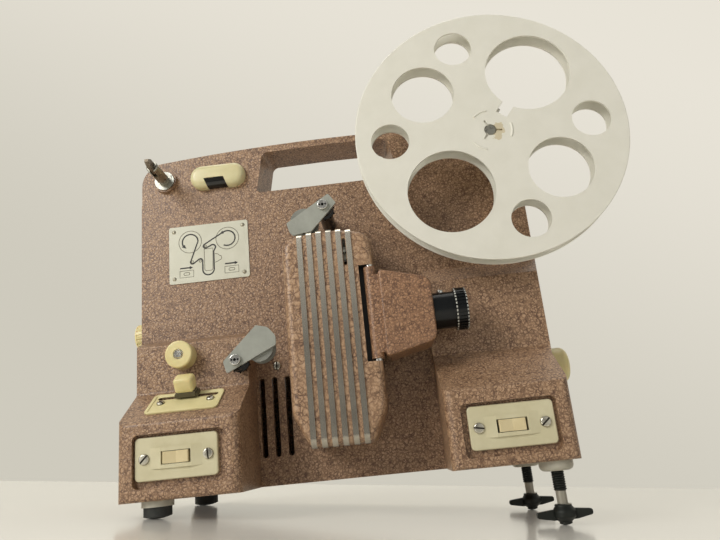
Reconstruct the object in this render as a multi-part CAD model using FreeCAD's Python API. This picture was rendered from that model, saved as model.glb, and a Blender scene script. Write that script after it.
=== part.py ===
import FreeCAD, Part

import math
import os

# Small film projector that stands on four feet, its lens end raised by two
# wing screws. Everything is drawn level: X runs along the optical axis to
# the lens, Y goes into the depth and Z up, from the upper plate's front face
# and the casting's bottom. One tilt about Y then stands it on its feet.

# Main casting
PLATE_HALF = 135.0
CAST_DEPTH = 29.0
CAST_WALL = 4.0
CORNER_R = 17.0
CROWN_TOP = 237.0
CROWN_ANGLE = 4.85
CROWN_FROM = 200.0
CROWN_SETBACK = 0.8
CAVITY_TOP = 190.0
WINDOW_MARGIN = 4.0

# Handle opening under the crown
HANDLE_FLOOR = 200.4
HANDLE_BAR = 4.8
HANDLE_HALF_FLOOR = 51.5
HANDLE_HALF_TOP = 46.0
HANDLE_DRAFT = 3.6
HANDLE_CORNER = 5.0

# Lower sections and the two front boxes
BOX_FRONT = 53.0
BOX_TOP = 42.5
BOX_INNER = 58.0
BOX_SIDE = 128.2
SECTION_SIDE = 129.4
SLOPE = math.radians(31.8)
LEFT_SECTION = 21.5
LEFT_LEDGE = 92.5
LEFT_LEDGE_RISE = 6.5
RIGHT_SECTION = 11.0
RIGHT_LEDGE = 117.0
RIGHT_LEDGE_RISE = 11.0
BOX_EDGE = 2.5

# Switch recesses, plates and rockers
RECESS_LENGTH = 53.0
RECESS_HEIGHT = 29.4
RECESS_DEPTH = 4.1
RECESS_CORNER = 3.5
RECESS_X = 92.8
LEFT_RECESS_Z = 21.5
RIGHT_RECESS_Z = 20.1
SWITCH_PLATE_LENGTH = 47.7
SWITCH_PLATE_HEIGHT = 23.9
SWITCH_PLATE_THICK = 2.4
SWITCH_PLATE_CORNER = 2.5
SWITCH_PLATE_EDGE = 0.8
SWITCH_PANEL_LENGTH = 30.0
SWITCH_PANEL_FLAT = 17.4
SWITCH_PANEL_HEIGHT = 11.5
SWITCH_PANEL_RISE = 0.9
LEFT_PLATE_X = -94.5
LEFT_PLATE_Z = 22.6
RIGHT_PLATE_X = 93.8
RIGHT_PLATE_Z = 21.1
SWITCH_SCREW_SPACING = 36.6
ROCKER_LENGTH = 16.4
ROCKER_HEIGHT = 6.6
ROCKER_RISE = 0.8
ROCKER_DISH = 1.2
ROCKER_END_GAP = 0.8
ROCKER_SINK = 3.0
ROCKER_PIVOT_R = 2.0
ROCKER_SIDE_DEEP = 2.4
ROCKER_EDGE = 0.5
SWITCH_WELL_SPARE = 1.2
SWITCH_WELL_DEEP = 9.0
SWITCH_BODY_LENGTH = 27.0
SWITCH_BODY_HEIGHT = 18.0
SWITCH_BODY_DEPTH = 19.0
POCKET_GAP = 0.6

# Vent slots in the central plate
VENT_X = -46.1
VENT_PITCH = 8.4
VENT_COUNT = 3
VENT_WIDTH = 3.6
VENT_BOTTOM = 17.2
VENT_TOP = 67.7

# Rear housing
REAR_INSET = 11.0
REAR_BACK = 82.0
REAR_BOTTOM = 3.0
REAR_TOP = 194.0
REAR_WALL = 2.5
REAR_CORNER = 14.0
LOUVRE_COUNT = 9
LOUVRE_MIDDLE = 105.3
LOUVRE_PITCH = 9.0
LOUVRE_LENGTH = 62.0
LOUVRE_WIDTH = 3.4
REAR_SCREW_R = 3.2

# Lamp housing with its cooling strips
LAMP_X = -1.4
LAMP_HALF = 28.0
LAMP_FRONT = 42.0
LAMP_BOTTOM = 20.0
LAMP_SHOULDER = 39.0
LAMP_CORNER_Z = 146.3
LAMP_CORNER_R = 9.0
LAMP_FOOT_R = 5.0
LAMP_SHOULDER_R = 14.0
LAMP_ARCH_ANGLE = math.radians(14.5)
LAMP_ARCH_SHARE = 0.74
LAMP_FOOT_HALF = 18.6
LAMP_WALL = 3.0
LAMP_EDGE = 4.6
STRIP_COUNT = 6
STRIP_SHIFT = -0.8
STRIP_PITCH = 6.16
STRIP_WIDTH = 3.3
STRIP_THICK = 0.9
STRIP_REACH = 10.0
ADJUST_WIDTH = 2.2
ADJUST_BOTTOM = 126.0
ADJUST_TOP = 143.6
ADJUST_PIN_R = 0.9
ADJUST_PIN_LENGTH = 8.0
ADJUST_PIN_OUT = 1.2
CARRIER_WIDTH = 6.0
CARRIER_HEIGHT = 8.0
CARRIER_THICK = 2.2

# Optical line, film and gate
OPTIC_Z = 93.3
FILM_Y = -30.6
FILM_WIDTH = 8.0
GATE_HEIGHT = 46.0
GATE_FRONT = 34.9
GATE_WIDTH = 15.0
GATE_THICK = 1.2
APERTURE_WIDTH = 4.4
APERTURE_HEIGHT = 3.3
RAIL_WIDTH = 0.5
RAIL_HIGH = 0.3
RAIL_LENGTH = 40.0

# Lens door and its hinge
HINGE_X = 24.2
HINGE_Y = -38.8
BARREL_R = 3.7
PIN_R = 2.3
NOTCH_BOTTOM = 65.4
NOTCH_TOP = 125.0
NOTCH_LEFT = 17.7
NOTCH_WALL = 1.5
BARREL_END_GAP = 1.5
CASING_PAST = 8.0
PIN_PAST = 6.0
DOOR_LEFT = 29.2
DOOR_RIGHT = 60.4
DOOR_FRONT = 44.0
DOOR_REAR = 17.0
DOOR_TOP_LEFT = 121.0
DOOR_TOP_RIGHT = 112.7
DOOR_BOTTOM_LEFT = 67.0
DOOR_BOTTOM_RIGHT = 74.0
FILM_CHANNEL = 2.6
DOOR_HINGE_R = 2.0
DOOR_TOP_R = 6.0
DOOR_BOTTOM_R = 7.0
DOOR_EDGE = 1.6
WEB_INSET = 3.0
WEB_BEHIND = 1.4

# Lens
LENS_R = 11.2
LENS_FROM = 40.0
LENS_TO = 75.5
LENS_NECK_R = 10.0
FOCUS_R = 13.0
FOCUS_FROM = 73.6
FOCUS_TO = 81.0
FOCUS_LANDS = 36
FOCUS_EDGE = 0.8
GROOVE_WIDTH = 1.0
GROOVE_DEEP = 0.6
GROOVE_INSET = 1.5
GLASS_R = 8.6
GLASS_BULGE_R = 16.0
GLASS_THICK = 5.0
GLASS_INSET = 3.0
CLAMP_X = 66.0
CLAMP_HEAD_R = 2.1
CLAMP_HIGH = 1.9
CLAMP_EDGE = 1.2

# Projection lamp, its holder, mirror and condenser
LAMP_GLASS_X = -6.0
LAMP_GLASS_R = 7.0
LAMP_GLASS_LENGTH = 44.0
CAP_WALL = 0.8
CAP_LENGTH = 16.0
HOLDER_ARM_WIDTH = 10.0
HOLDER_ARM_THICK = 5.0
HOLDER_ARM_DROP = 9.0
HOLDER_FOOT_WIDTH = 18.0
HOLDER_FOOT_DROP = 39.0
BRACKET_THICK = 2.0
MIRROR_R = 13.0
MIRROR_THICK = 1.0
MIRROR_RIM_R = 7.0
MIRROR_AHEAD = 2.0
MIRROR_POST_R = 1.6
MIRROR_POST_LENGTH = 6.0
CONDENSER_GAP = 2.0
CONDENSER_R = 6.4
CONDENSER_WALL = 1.0
CONDENSER_BULGE_R = 14.0
CONDENSER_LENS = 5.0
CONDENSER_FOOT_DROP = 60.0

# Guide arms with their sprockets and rollers
ARM_FRONT = 38.5
ARM_THICK = 1.6
ARM_ROLLER_U = 15.5
ARM_ROLLER_V = -3.0
UPPER_STUD_X = -1.2
UPPER_STUD_Z = 168.5
UPPER_ARM_TURN = 224.0
UPPER_ARM_OUTLINE = ((-8.2, -2.8, 0.8), (-6.8, 5.2, 1.2), (17.8, 6.0, 1.0), (25.4, 0.2, 2.0),
                     (27.3, -0.6, 1.0), (27.3, -4.0, 4.0), (24.0, -9.9, 1.0))
LOWER_STUD_X = -61.8
LOWER_STUD_Z = 75.3
LOWER_ARM_TURN = 35.0
LOWER_ARM_OUTLINE = ((-8.9, -2.9, 0.8), (-6.4, 4.3, 1.5), (22.4, 8.8, 1.2), (27.1, 3.2, 5.0),
                     (27.7, -4.4, 5.0), (24.3, -8.8, 0.8))
ROLLER_FLANGE_R = 8.6
ROLLER_CORE_R = 6.0
ROLLER_WIDTH = 9.6
ROLLER_FLANGE = 0.8
SPROCKET_R = 6.06
SPROCKET_TEETH = 10
TOOTH_HIGH = 0.8
SPROCKET_LAND = 1.2
SPROCKET_WAIST = 1.6
SPROCKET_BEVEL = 1.0
SPROCKET_WAIST_FROM = 3.4
SPROCKET_WAIST_TO = 7.0
SPROCKET_TO = 10.8
SPROCKET_NECK_R = 4.6
TOOTH_FROM = 8.6
TOOTH_LONG = 1.0
TOOTH_ROOT = 1.4
TOOTH_TIP = 0.6
STUD_R = 2.0
STUD_CAP_R = 3.2
STUD_CAP_HIGH = 1.0
NUT_R = 3.3
NUT_HIGH = 2.2
NUT_EDGE = 0.5
NUT_BORE_DEEP = 1.3
NUT_HOLE_R = 0.6
NUT_HOLE_DEEP = 0.8
NUT_HOLE_AT = 1.9

# Reel spindles
TAKEUP_X = -117.2
TAKEUP_Z = 216.3
SUPPLY_X = 112.8
SUPPLY_Z = 208.7
JOURNAL_R = 4.7
SPINDLE_R = 3.95
SPINDLE_TIP = 36.4
COLLAR_R = 7.0
COLLAR_HIGH = 3.0
BOSS_R = 8.2
BOSS_HIGH = 2.0
WASHER_R = 7.0
WASHER_THICK = 1.0
SPINDLE_BEVEL = 0.6
LATCH_PIVOT = 21.0
LATCH_WIDTH = 2.6
LATCH_BEHIND = 2.6
LATCH_HALF = 2.6
LATCH_WIDE_HALF = 3.2
LATCH_POINT = 1.0
LATCH_TAPER = 5.0
LATCH_HOLE_R = 1.5
LATCH_HOLE_AT = 7.4
LATCH_PIN_R = 0.9
FORK_PAST = 6.0
FORK_DEEP = 3.4
WASHER_SLOT_FROM = 4.9
WASHER_SLOT_LOW = 1.4
WASHER_SLOT_HIGH = 3.6

# Supply reel
REEL_R = 89.0
REEL_WIDTH = 11.5
REEL_SHEET = 1.3
REEL_HUB_R = 13.5
SMALL_HOLE_R = 12.65
SMALL_HOLE_AT = 66.0
SMALL_HOLE_ANGLES = (0.0, 104.0, 180.0, 284.0)
BIG_HOLE_R = 28.2
BIG_HOLE_AT = 50.2
BIG_HOLE_ANGLES = (52.0, 232.0)
MEDIUM_HOLE_R = 21.0
MEDIUM_HOLE_AT = 51.6
MEDIUM_HOLE_ANGLES = (142.0, 322.0)
KEY_SLOT_ANGLES = (113.0, 233.0, 353.0)
KEY_SLOT_TO = 7.7
KEY_SLOT_WIDTH = 1.3
FILM_NOTCH_ANGLE = 50.0
FILM_NOTCH_WIDTH = 8.0
NOTCH_PAST = 4.0
GRIP_WIDTH = 1.2
GRIP_DEEP = 3.5
RIB_R = 14.2
RIB_WIDTH = 1.6
RIB_HIGH = 0.6
RIB_REACH = 20.0

# Control knobs on the left section and its slanted top
ROUND_KNOB_X = -99.2
ROUND_KNOB_Z = 84.0
ROUND_KNOB_R = 8.6
ROUND_KNOB_HIGH = 10.0
ROUND_STEM_R = 3.0
ROUND_KNOB_EDGE = 1.2
ROUND_SINK_DEEP = 0.7
STEM_PAST = 2.0
LEVER_X = -94.1
LEVER_PLATE_LENGTH = 43.8
LEVER_PLATE_FROM = 9.6
LEVER_PLATE_TO = 33.2
LEVER_PLATE_THICK = 1.2
LEVER_SLOT_AT = 28.4
LEVER_SLOT_WIDTH = 3.6
LEVER_TRAVEL = 12.0
LEVER_STEM_LENGTH = 12.0
LEVER_STEM_THICK = 3.0
LEVER_KNOB_LENGTH = 12.6
LEVER_KNOB_DEEP = 9.6
LEVER_SKIRT_LENGTH = 14.0
LEVER_SKIRT_DEEP = 7.2
LEVER_SLOT_DEEP = 14.0
LEVER_STEM_DEEP = 12.0
LEVER_PLATE_CORNER = 3.0
LEVER_KNOB_CORNER = 2.0
LEVER_KNOB_EDGE = 1.8
LEVER_KNOB_FROM = 3.6
LEVER_KNOB_TO = 16.0
LEVER_SCREW_FROM_SLOT = 6.4
LEVER_SCREW_SPREAD = 30.4

# Side knobs
INCHING_Y = 19.1
INCHING_Z = 107.7
INCHING_R = 9.2
INCHING_OUT = 9.4
INCHING_EDGE = 1.4
FLUTE_COUNT = 18
FLUTE_R = 0.9
FLUTE_OUT = 0.5
FLUTE_INSET = 0.8
FRAMING_Y = 19.0
FRAMING_Z = 57.8
FRAMING_R = 11.8
FRAMING_OUT = 13.0
FRAMING_EDGE = 5.0
FRAMING_SHAFT = 21.0
SHAFT_R = 3.0

# Pilot lamp hood, threading diagram and fasteners
HOOD_X = -78.3
HOOD_Z = 215.7
HOOD_LENGTH = 41.4
HOOD_HEIGHT = 22.0
HOOD_HIGH = 7.0
HOOD_WALL = 1.4
HOOD_EDGE = 4.5
HOOD_WINDOW = ((-9.2, -2.4), (-6.4, -9.2), (7.4, -9.2), (5.2, -2.4))
DIAGRAM_X = -86.9
DIAGRAM_Z = 159.3
DIAGRAM_LENGTH = 56.3
DIAGRAM_HEIGHT = 41.8
DIAGRAM_THICK = 0.6
RIVET_INSET = 3.6
RIVET_R = 1.5
RIVET_CROWN_R = 1.9
RIVET_HIGH = 0.7
DIAGRAM_CORNER = 1.5
SCREW_R = 3.0
SCREW_HIGH = 1.1
SCREW_RIM = 0.3
SCREW_TOP_SHARE = 0.72
SCREW_SLOT_WIDTH = 0.6
SCREW_SLOT_DEEP = 0.6
LEVER_SCREW_R = 2.4
VENT_SCREW_R = 2.5
VENT_SCREW_X = -43.9
VENT_SCREW_Z = 74.8

# Feet, and the tilt that they give
TILT = math.radians(6.0)
LEFT_FOOT_INSET = 25.7
RIGHT_FOOT_INSET = 19.0
FRONT_FOOT_Y = -40.0
REAR_FOOT_Y = 52.0
LEFT_BOSS_R = 9.0
LEFT_BOSS_HIGH = 3.4
SCREW_BOSS_R = 9.4
SCREW_BOSS_HIGH = 5.4
SCREW_BOSS_EDGE = 3.0
RUBBER_R = 7.9
RUBBER_BOTTOM = 9.9
RUBBER_CROWN = 22.0
THREAD_R = 3.5
THREAD_TOP = 17.0
THREAD_PITCH = 1.25
THREAD_DEPTH = 0.45
FOOT_LIFT = 12.5
TIP_R = 3.4
TIP_HIGH = 1.8
TIP_CROWN = 7.0
TIP_NECK_R = 1.6
TIP_NECK_LENGTH = 3.0
HUB_R = 4.6
HUB_HIGH = 9.0
HUB_BELLY_R = 6.4
SHANK_R = 2.85
SHANK_LENGTH = 6.9
WING_SPAN = 30.0
WING_THICK = 3.2
WING_ROOT_LOW = 1.0
WING_ROOT_HIGH = 6.4
WING_END_LOW = 2.6
WING_END_HIGH = 5.5
WING_ROUND = 1.2
WING_FILLET = 2.0
HUB_ROUND = 1.5
HUB_COLLAR = 1.0

# Mechanism inside
MOTOR_X = 52.0
MOTOR_Y = 50.0
MOTOR_Z = 56.0
MOTOR_R = 28.0
MOTOR_LENGTH = 58.0
MOTOR_EDGE = 4.0
MOTOR_FOOT_LENGTH = 8.0
MOTOR_FOOT_WIDTH = 32.0
MOTOR_FOOT_INTO = 6.0
FAN_R = 24.0
FAN_WIDTH = 16.0
FAN_BLADES = 8
FAN_BLADE_THICK = 1.2
FAN_HUB_R = 9.0
FAN_DISC = 1.5
FAN_GAP = 10.0
PULLEY_R = 8.0
PULLEY_WIDTH = 8.0
PULLEY_GROOVE = 2.0
SHAFT_PAST = 4.0
SHUTTER_X = 13.6
SHUTTER_Y = 12.0
SHUTTER_R = 47.0
SHUTTER_SHEET = 0.8
SHUTTER_GAP_DEEP = 18.0
SHUTTER_GAP_WIDTH = 30.0
GEAR_MODULE = 1.0
GEAR_WIDTH = 6.0
GEAR_X = -6.4
GEAR_DEDENDUM = 1.2
GEAR_ADDENDUM = 0.9
GEAR_ROOT_HALF = 0.95
GEAR_PITCH_HALF = 0.65
GEAR_TIP_HALF = 0.3
INCHING_TEETH = 20
SHUTTER_TEETH = 12
INLET_INSET = 36.0
INLET_Z = 40.0
INLET_LENGTH = 28.0
INLET_HEIGHT = 22.0
INLET_FLANGE = 2.0
INLET_EDGE = 3.3
INLET_WALL = 2.0
INLET_DEEP = 14.0
INLET_WELL = 12.0
INLET_PIN_R = 2.0
INLET_PIN_LENGTH = 11.0
INLET_PIN_SPACING = 10.0

# Fits and clearances
RUNNING = 0.05
SEAT = 0.3

# Places that follow from the casting's width
REAR_HALF = PLATE_HALF - REAR_INSET
INLET_X = -(REAR_HALF - INLET_INSET)
LEFT_FOOT_X = -(PLATE_HALF - LEFT_FOOT_INSET)
RIGHT_FOOT_X = PLATE_HALF - RIGHT_FOOT_INSET

V = FreeCAD.Vector
ALONG_X = V(1, 0, 0)
ALONG_Y = V(0, 1, 0)
ALONG_Z = V(0, 0, 1)
FRONT = V(0, -1, 0)


def block(x_from, x_to, y_from, y_to, z_from, z_to):
    return Part.makeBox(x_to - x_from, y_to - y_from, z_to - z_from, V(x_from, y_from, z_from))


def rod(radius, length, start, along):
    return Part.makeCylinder(radius, length, start, along)


def front_view(y):
    """Place a drawn point (x, z) on the plane at depth y."""
    return lambda x, z: V(x, y, z)


def side_view(x):
    """Place a drawn point (y, z) on the plane at x."""
    return lambda y, z: V(x, y, z)


def top_view(z):
    """Place a drawn point (x, y) on the plane at height z."""
    return lambda x, y: V(x, y, z)


def rounded_wire(corners, place):
    """Closed outline through corners (a, b, radius), each rounded by an arc."""
    edges = []
    ends = []
    count = len(corners)
    for index in range(count):
        a, b, radius = corners[index]
        before = corners[index - 1]
        after = corners[(index + 1) % count]
        to_before = (before[0] - a, before[1] - b)
        to_after = (after[0] - a, after[1] - b)
        reach_before = math.hypot(*to_before)
        reach_after = math.hypot(*to_after)
        u = (to_before[0] / reach_before, to_before[1] / reach_before)
        w = (to_after[0] / reach_after, to_after[1] / reach_after)
        if radius == 0:
            ends.append(((a, b), (a, b)))
            continue
        half = math.acos(u[0] * w[0] + u[1] * w[1]) / 2
        cut = radius / math.tan(half)
        start = (a + u[0] * cut, b + u[1] * cut)
        end = (a + w[0] * cut, b + w[1] * cut)
        middle = (u[0] + w[0], u[1] + w[1])
        size = math.hypot(*middle)
        out = radius / math.sin(half) - radius
        top = (a + middle[0] / size * out, b + middle[1] / size * out)
        edges.append(Part.Arc(place(*start), place(*top), place(*end)).toShape())
        ends.append((start, end))
    for index in range(count):
        leave = place(*ends[index][1])
        arrive = place(*ends[(index + 1) % count][0])
        if leave.distanceToPoint(arrive) > 0.001:
            edges.append(Part.makeLine(leave, arrive))
    return Part.Wire(Part.__sortEdges__(edges))


def prism(corners, place, depth):
    """Solid on a rounded outline, pushed along the vector depth."""
    return Part.Face(rounded_wire(corners, place)).extrude(depth)


def rectangle(x, z, length, height, radius):
    """Corners of a rounded rectangle about the point (x, z)."""
    return [(x - length / 2, z - height / 2, radius), (x + length / 2, z - height / 2, radius),
            (x + length / 2, z + height / 2, radius), (x - length / 2, z + height / 2, radius)]


def edges_on(shape, test):
    """Edges of the shape whose both ends and middle pass the test."""
    found = []
    for edge in shape.Edges:
        points = [edge.valueAt(edge.FirstParameter), edge.valueAt(edge.LastParameter)]
        points.append(edge.valueAt((edge.FirstParameter + edge.LastParameter) / 2))
        if all(test(point) for point in points):
            found.append(edge)
    return found


def near(value, target):
    return abs(value - target) < 0.01


def on_slant(shape):
    """Carry a shape drawn flat, x along and y up the slope, onto the slanted box top."""
    shape.rotate(V(0, 0, 0), ALONG_X, math.degrees(SLOPE))
    shape.translate(V(0, -BOX_FRONT, BOX_TOP))
    return shape


def crown_curve(inset):
    """Radius of the crown's arc and the height of its corner centres, for an outline set in."""
    corner = CORNER_R - inset
    radius = (PLATE_HALF - CORNER_R) / math.sin(math.radians(CROWN_ANGLE)) + corner
    centre_z = CROWN_TOP - inset - radius + (radius - corner) * math.cos(math.radians(CROWN_ANGLE))
    return radius, centre_z


def plate_wire(y):
    """Front outline of the plate with its two round shoulders and gently arched crown."""
    place = front_view(y)
    radius, centre_z = crown_curve(0)
    centre_x = PLATE_HALF - CORNER_R
    lean = math.radians(CROWN_ANGLE)
    reach = CORNER_R * math.sin(lean)
    rise = CORNER_R * math.cos(lean)
    mid = (math.pi / 2 - lean) / 2
    side_x = CORNER_R * math.cos(mid)
    side_z = CORNER_R * math.sin(mid)
    left_top = place(-centre_x - reach, centre_z + rise)
    right_top = place(centre_x + reach, centre_z + rise)
    left_side = place(-PLATE_HALF, centre_z)
    right_side = place(PLATE_HALF, centre_z)
    edges = [Part.makeLine(place(-PLATE_HALF, 0), place(PLATE_HALF, 0)),
             Part.makeLine(place(PLATE_HALF, 0), right_side),
             Part.Arc(right_side, place(centre_x + side_x, centre_z + side_z), right_top).toShape(),
             Part.Arc(right_top, place(0, CROWN_TOP), left_top).toShape(),
             Part.Arc(left_top, place(-centre_x - side_x, centre_z + side_z), left_side).toShape(),
             Part.makeLine(left_side, place(-PLATE_HALF, 0))]
    return Part.Wire(edges)


def handle_wire(y, inset):
    """Outline of the handle opening, its upper edge following the crown."""
    radius, _ = crown_curve(0)
    half_top = HANDLE_HALF_TOP - inset
    drop = radius - math.sqrt(radius * radius - half_top * half_top)
    ceiling = CROWN_TOP - HANDLE_BAR
    corners = [(-HANDLE_HALF_FLOOR + inset, HANDLE_FLOOR, HANDLE_CORNER / 2),
               (HANDLE_HALF_FLOOR - inset, HANDLE_FLOOR, HANDLE_CORNER / 2),
               (half_top, ceiling - drop, HANDLE_CORNER),
               (0, ceiling, radius / 4),
               (-half_top, ceiling - drop, HANDLE_CORNER)]
    return rounded_wire(corners, front_view(y))


def handle_opening():
    """The opening narrows with its draft towards the rear."""
    past = 1.0
    wires = [handle_wire(-past, 0), handle_wire(CAST_DEPTH + past, HANDLE_DRAFT)]
    return Part.makeLoft(wires, True, True)


def section_profile(depth, ledge, rise):
    """Side outline of a lower section: box front, slanted top, upright face and ledge."""
    slant_top = BOX_TOP + (BOX_FRONT - depth) * math.tan(SLOPE)
    return [(0, 0, 0), (-BOX_FRONT, 0, BOX_EDGE), (-BOX_FRONT, BOX_TOP, BOX_EDGE),
            (-depth, slant_top, BOX_EDGE), (-depth, ledge, BOX_EDGE / 2), (0, ledge + rise, 0)]


def lower_section(side, depth, ledge, rise):
    """One lower section, its outer side drafted towards the front."""
    profile = prism(section_profile(depth, ledge, rise), side_view(0), V(PLATE_HALF * side, 0, 0))
    plan = [(BOX_INNER * side, 0, 0), (BOX_INNER * side, -BOX_FRONT, BOX_EDGE * 2),
            (BOX_SIDE * side, -BOX_FRONT, BOX_EDGE * 2), (SECTION_SIDE * side, -LEFT_SECTION, BOX_EDGE),
            (PLATE_HALF * side, 0, 0)]
    tall = ledge + rise
    return profile.common(prism(plan, top_view(0), V(0, 0, tall)))


def switch_recess(x, z, plate_x, plate_z):
    """Shallow recess for a switch plate and the pocket for the switch behind it."""
    floor = -BOX_FRONT + RECESS_DEPTH
    front = rectangle(x, z, RECESS_LENGTH, RECESS_HEIGHT, RECESS_CORNER)
    recess = prism(front, front_view(-BOX_FRONT - 1), V(0, RECESS_DEPTH + 1, 0))
    long = SWITCH_BODY_LENGTH / 2 + POCKET_GAP
    high = SWITCH_BODY_HEIGHT / 2 + POCKET_GAP
    deep = SWITCH_BODY_DEPTH + POCKET_GAP
    pocket = block(plate_x - long, plate_x + long, floor - 1, floor + deep, plate_z - high, plate_z + high)
    return recess.fuse(pocket)


def vent_slots():
    slots = []
    for index in range(VENT_COUNT):
        x = VENT_X + (index - (VENT_COUNT - 1) / 2) * VENT_PITCH
        middle = (VENT_TOP + VENT_BOTTOM) / 2
        outline = rectangle(x, middle, VENT_WIDTH, VENT_TOP - VENT_BOTTOM, VENT_WIDTH / 2 - 0.05)
        slots.append(prism(outline, front_view(-1), V(0, CAST_WALL + 2, 0)))
    return slots


def casting_bosses():
    """Turned bosses in front of the plate for the spindles and behind it for their bearings."""
    bosses = []
    for x, z in ((TAKEUP_X, TAKEUP_Z), (SUPPLY_X, SUPPLY_Z)):
        bosses.append(rod(BOSS_R, BOSS_HIGH + CROWN_SETBACK, V(x, CROWN_SETBACK, z), FRONT))
    return bosses


def casting_bores():
    """Bores that spindles, studs, stems, screws and side shafts turn in."""
    through = CAST_DEPTH + BOSS_HIGH + 2
    bores = []
    for x, z in ((TAKEUP_X, TAKEUP_Z), (SUPPLY_X, SUPPLY_Z)):
        bores.append(rod(JOURNAL_R + RUNNING, through, V(x, -BOSS_HIGH - 1, z), ALONG_Y))
    bores.append(rod(STUD_R + RUNNING, CAST_WALL + 2, V(UPPER_STUD_X, -1, UPPER_STUD_Z), ALONG_Y))
    section_deep = LEFT_SECTION + CAST_WALL + 2
    section_front = -LEFT_SECTION - 1
    for radius, x, z in ((STUD_R, LOWER_STUD_X, LOWER_STUD_Z), (ROUND_STEM_R, ROUND_KNOB_X, ROUND_KNOB_Z)):
        bores.append(rod(radius + RUNNING, section_deep, V(x, section_front, z), ALONG_Y))
    wall = CAST_WALL + 2
    bores.append(rod(SHAFT_R + RUNNING, wall, V(-PLATE_HALF - 1, INCHING_Y, INCHING_Z), ALONG_X))
    bores.append(rod(SHAFT_R + RUNNING, wall, V(PLATE_HALF - CAST_WALL - 1, FRAMING_Y, FRAMING_Z), ALONG_X))
    tall = THREAD_TOP + FOOT_LIFT + 2
    bores.append(rod(THREAD_R + RUNNING, tall, V(RIGHT_FOOT_X, FRONT_FOOT_Y, -1), ALONG_Z))
    return bores


def lever_slot_cut():
    """Seat for the lever plate and the deep slot that the lever's stem slides in."""
    length = LEVER_STEM_LENGTH + 2 * LEVER_TRAVEL + 1
    wide = LEVER_STEM_THICK + 1
    slot = block(LEVER_X - length / 2, LEVER_X + length / 2, LEVER_SLOT_AT - wide / 2,
                 LEVER_SLOT_AT + wide / 2, -LEVER_SLOT_DEEP, 1)
    return on_slant(slot)


def make_casting():
    plate = Part.Face(plate_wire(0)).extrude(V(0, CAST_DEPTH, 0))
    inner_half = PLATE_HALF - CAST_WALL
    cavity = block(-inner_half, inner_half, CAST_WALL, CAST_DEPTH + 1, CAST_WALL, CAVITY_TOP)
    setback = block(-PLATE_HALF - 1, PLATE_HALF + 1, -1, CROWN_SETBACK, CROWN_FROM, CROWN_TOP + 1)
    body = plate.cut([cavity, setback])
    left = lower_section(-1, LEFT_SECTION, LEFT_LEDGE, LEFT_LEDGE_RISE)
    right = lower_section(1, RIGHT_SECTION, RIGHT_LEDGE, RIGHT_LEDGE_RISE)
    body = body.fuse([left, right] + casting_bosses())
    cuts = [handle_opening(), lever_slot_cut(), lamp_window()]
    cuts.append(switch_recess(-RECESS_X, LEFT_RECESS_Z, LEFT_PLATE_X, LEFT_PLATE_Z))
    cuts.append(switch_recess(RECESS_X, RIGHT_RECESS_Z, RIGHT_PLATE_X, RIGHT_PLATE_Z))
    return body.cut(cuts + vent_slots() + casting_bores()).removeSplitter()


def lamp_window():
    """Air and shutter window in the plate behind the lamp housing."""
    half = LAMP_HALF - WINDOW_MARGIN
    top = LAMP_CORNER_Z - WINDOW_MARGIN
    return block(LAMP_X - half, LAMP_X + half, -1, CAST_WALL + 1, LAMP_SHOULDER, top)


def make_rear_housing():
    middle = (REAR_TOP + REAR_BOTTOM) / 2
    outline = rectangle(0, middle, 2 * REAR_HALF, REAR_TOP - REAR_BOTTOM, REAR_CORNER)
    deep = REAR_BACK - CAST_DEPTH
    shell = prism(outline, front_view(CAST_DEPTH), V(0, deep, 0))
    rim = edges_on(shell, lambda p: near(p.y, REAR_BACK))
    shell = shell.makeFillet(REAR_CORNER / 2, rim)
    thick = 2 * REAR_WALL
    inner = rectangle(0, middle, 2 * REAR_HALF - thick, REAR_TOP - REAR_BOTTOM - thick,
                      REAR_CORNER - REAR_WALL)
    hollow = prism(inner, front_view(CAST_DEPTH - 1), V(0, deep + 1 - REAR_WALL, 0))
    hollow_rim = edges_on(hollow, lambda p: near(p.y, REAR_BACK - REAR_WALL))
    hollow = hollow.makeFillet(REAR_CORNER / 2 - REAR_WALL, hollow_rim)
    cuts = [hollow]
    for index in range(LOUVRE_COUNT):
        z = LOUVRE_MIDDLE + (index - (LOUVRE_COUNT - 1) / 2) * LOUVRE_PITCH
        slot = rectangle(0, z, LOUVRE_LENGTH, LOUVRE_WIDTH, LOUVRE_WIDTH / 2 - 0.05)
        cuts.append(prism(slot, front_view(REAR_BACK - REAR_WALL - 1), V(0, REAR_WALL + 2, 0)))
    foot = V(RIGHT_FOOT_X, REAR_FOOT_Y, REAR_BOTTOM - 1)
    cuts.append(rod(THREAD_R + RUNNING, REAR_WALL + 10, foot, ALONG_Z))
    cuts.append(inlet_block(INLET_EDGE - SEAT, REAR_WALL + 1, 1))
    return shell.cut(cuts)


def rear_screw_places():
    inset = REAR_CORNER
    high = REAR_TOP - inset
    low = REAR_BOTTOM + inset
    side = REAR_HALF - inset
    return [(-side, low), (side, low), (-side, high), (side, high)]


def make_rear_screws():
    heads = []
    for x, z in rear_screw_places():
        heads.append(slotted_head(V(x, REAR_BACK, z), ALONG_Y, REAR_SCREW_R, 30))
    return Part.makeCompound(heads)


def slotted_head(seat, along, radius, turn):
    """Domed screw head with a saw cut, standing on the point seat."""
    half = SCREW_SLOT_WIDTH / 2
    head = Part.makeCone(radius, radius * SCREW_TOP_SHARE, SCREW_HIGH, V(0, 0, 0), ALONG_Z)
    head = head.fuse(rod(radius, SCREW_RIM, V(0, 0, 0), ALONG_Z))
    slot = block(-radius, radius, -half, half, SCREW_HIGH - SCREW_SLOT_DEEP, SCREW_HIGH + 1)
    head = head.cut(slot)
    head.rotate(V(0, 0, 0), ALONG_Z, turn)
    turned = FreeCAD.Rotation(ALONG_Z, along)
    head.Placement = FreeCAD.Placement(seat, turned).multiply(head.Placement)
    return head


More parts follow.
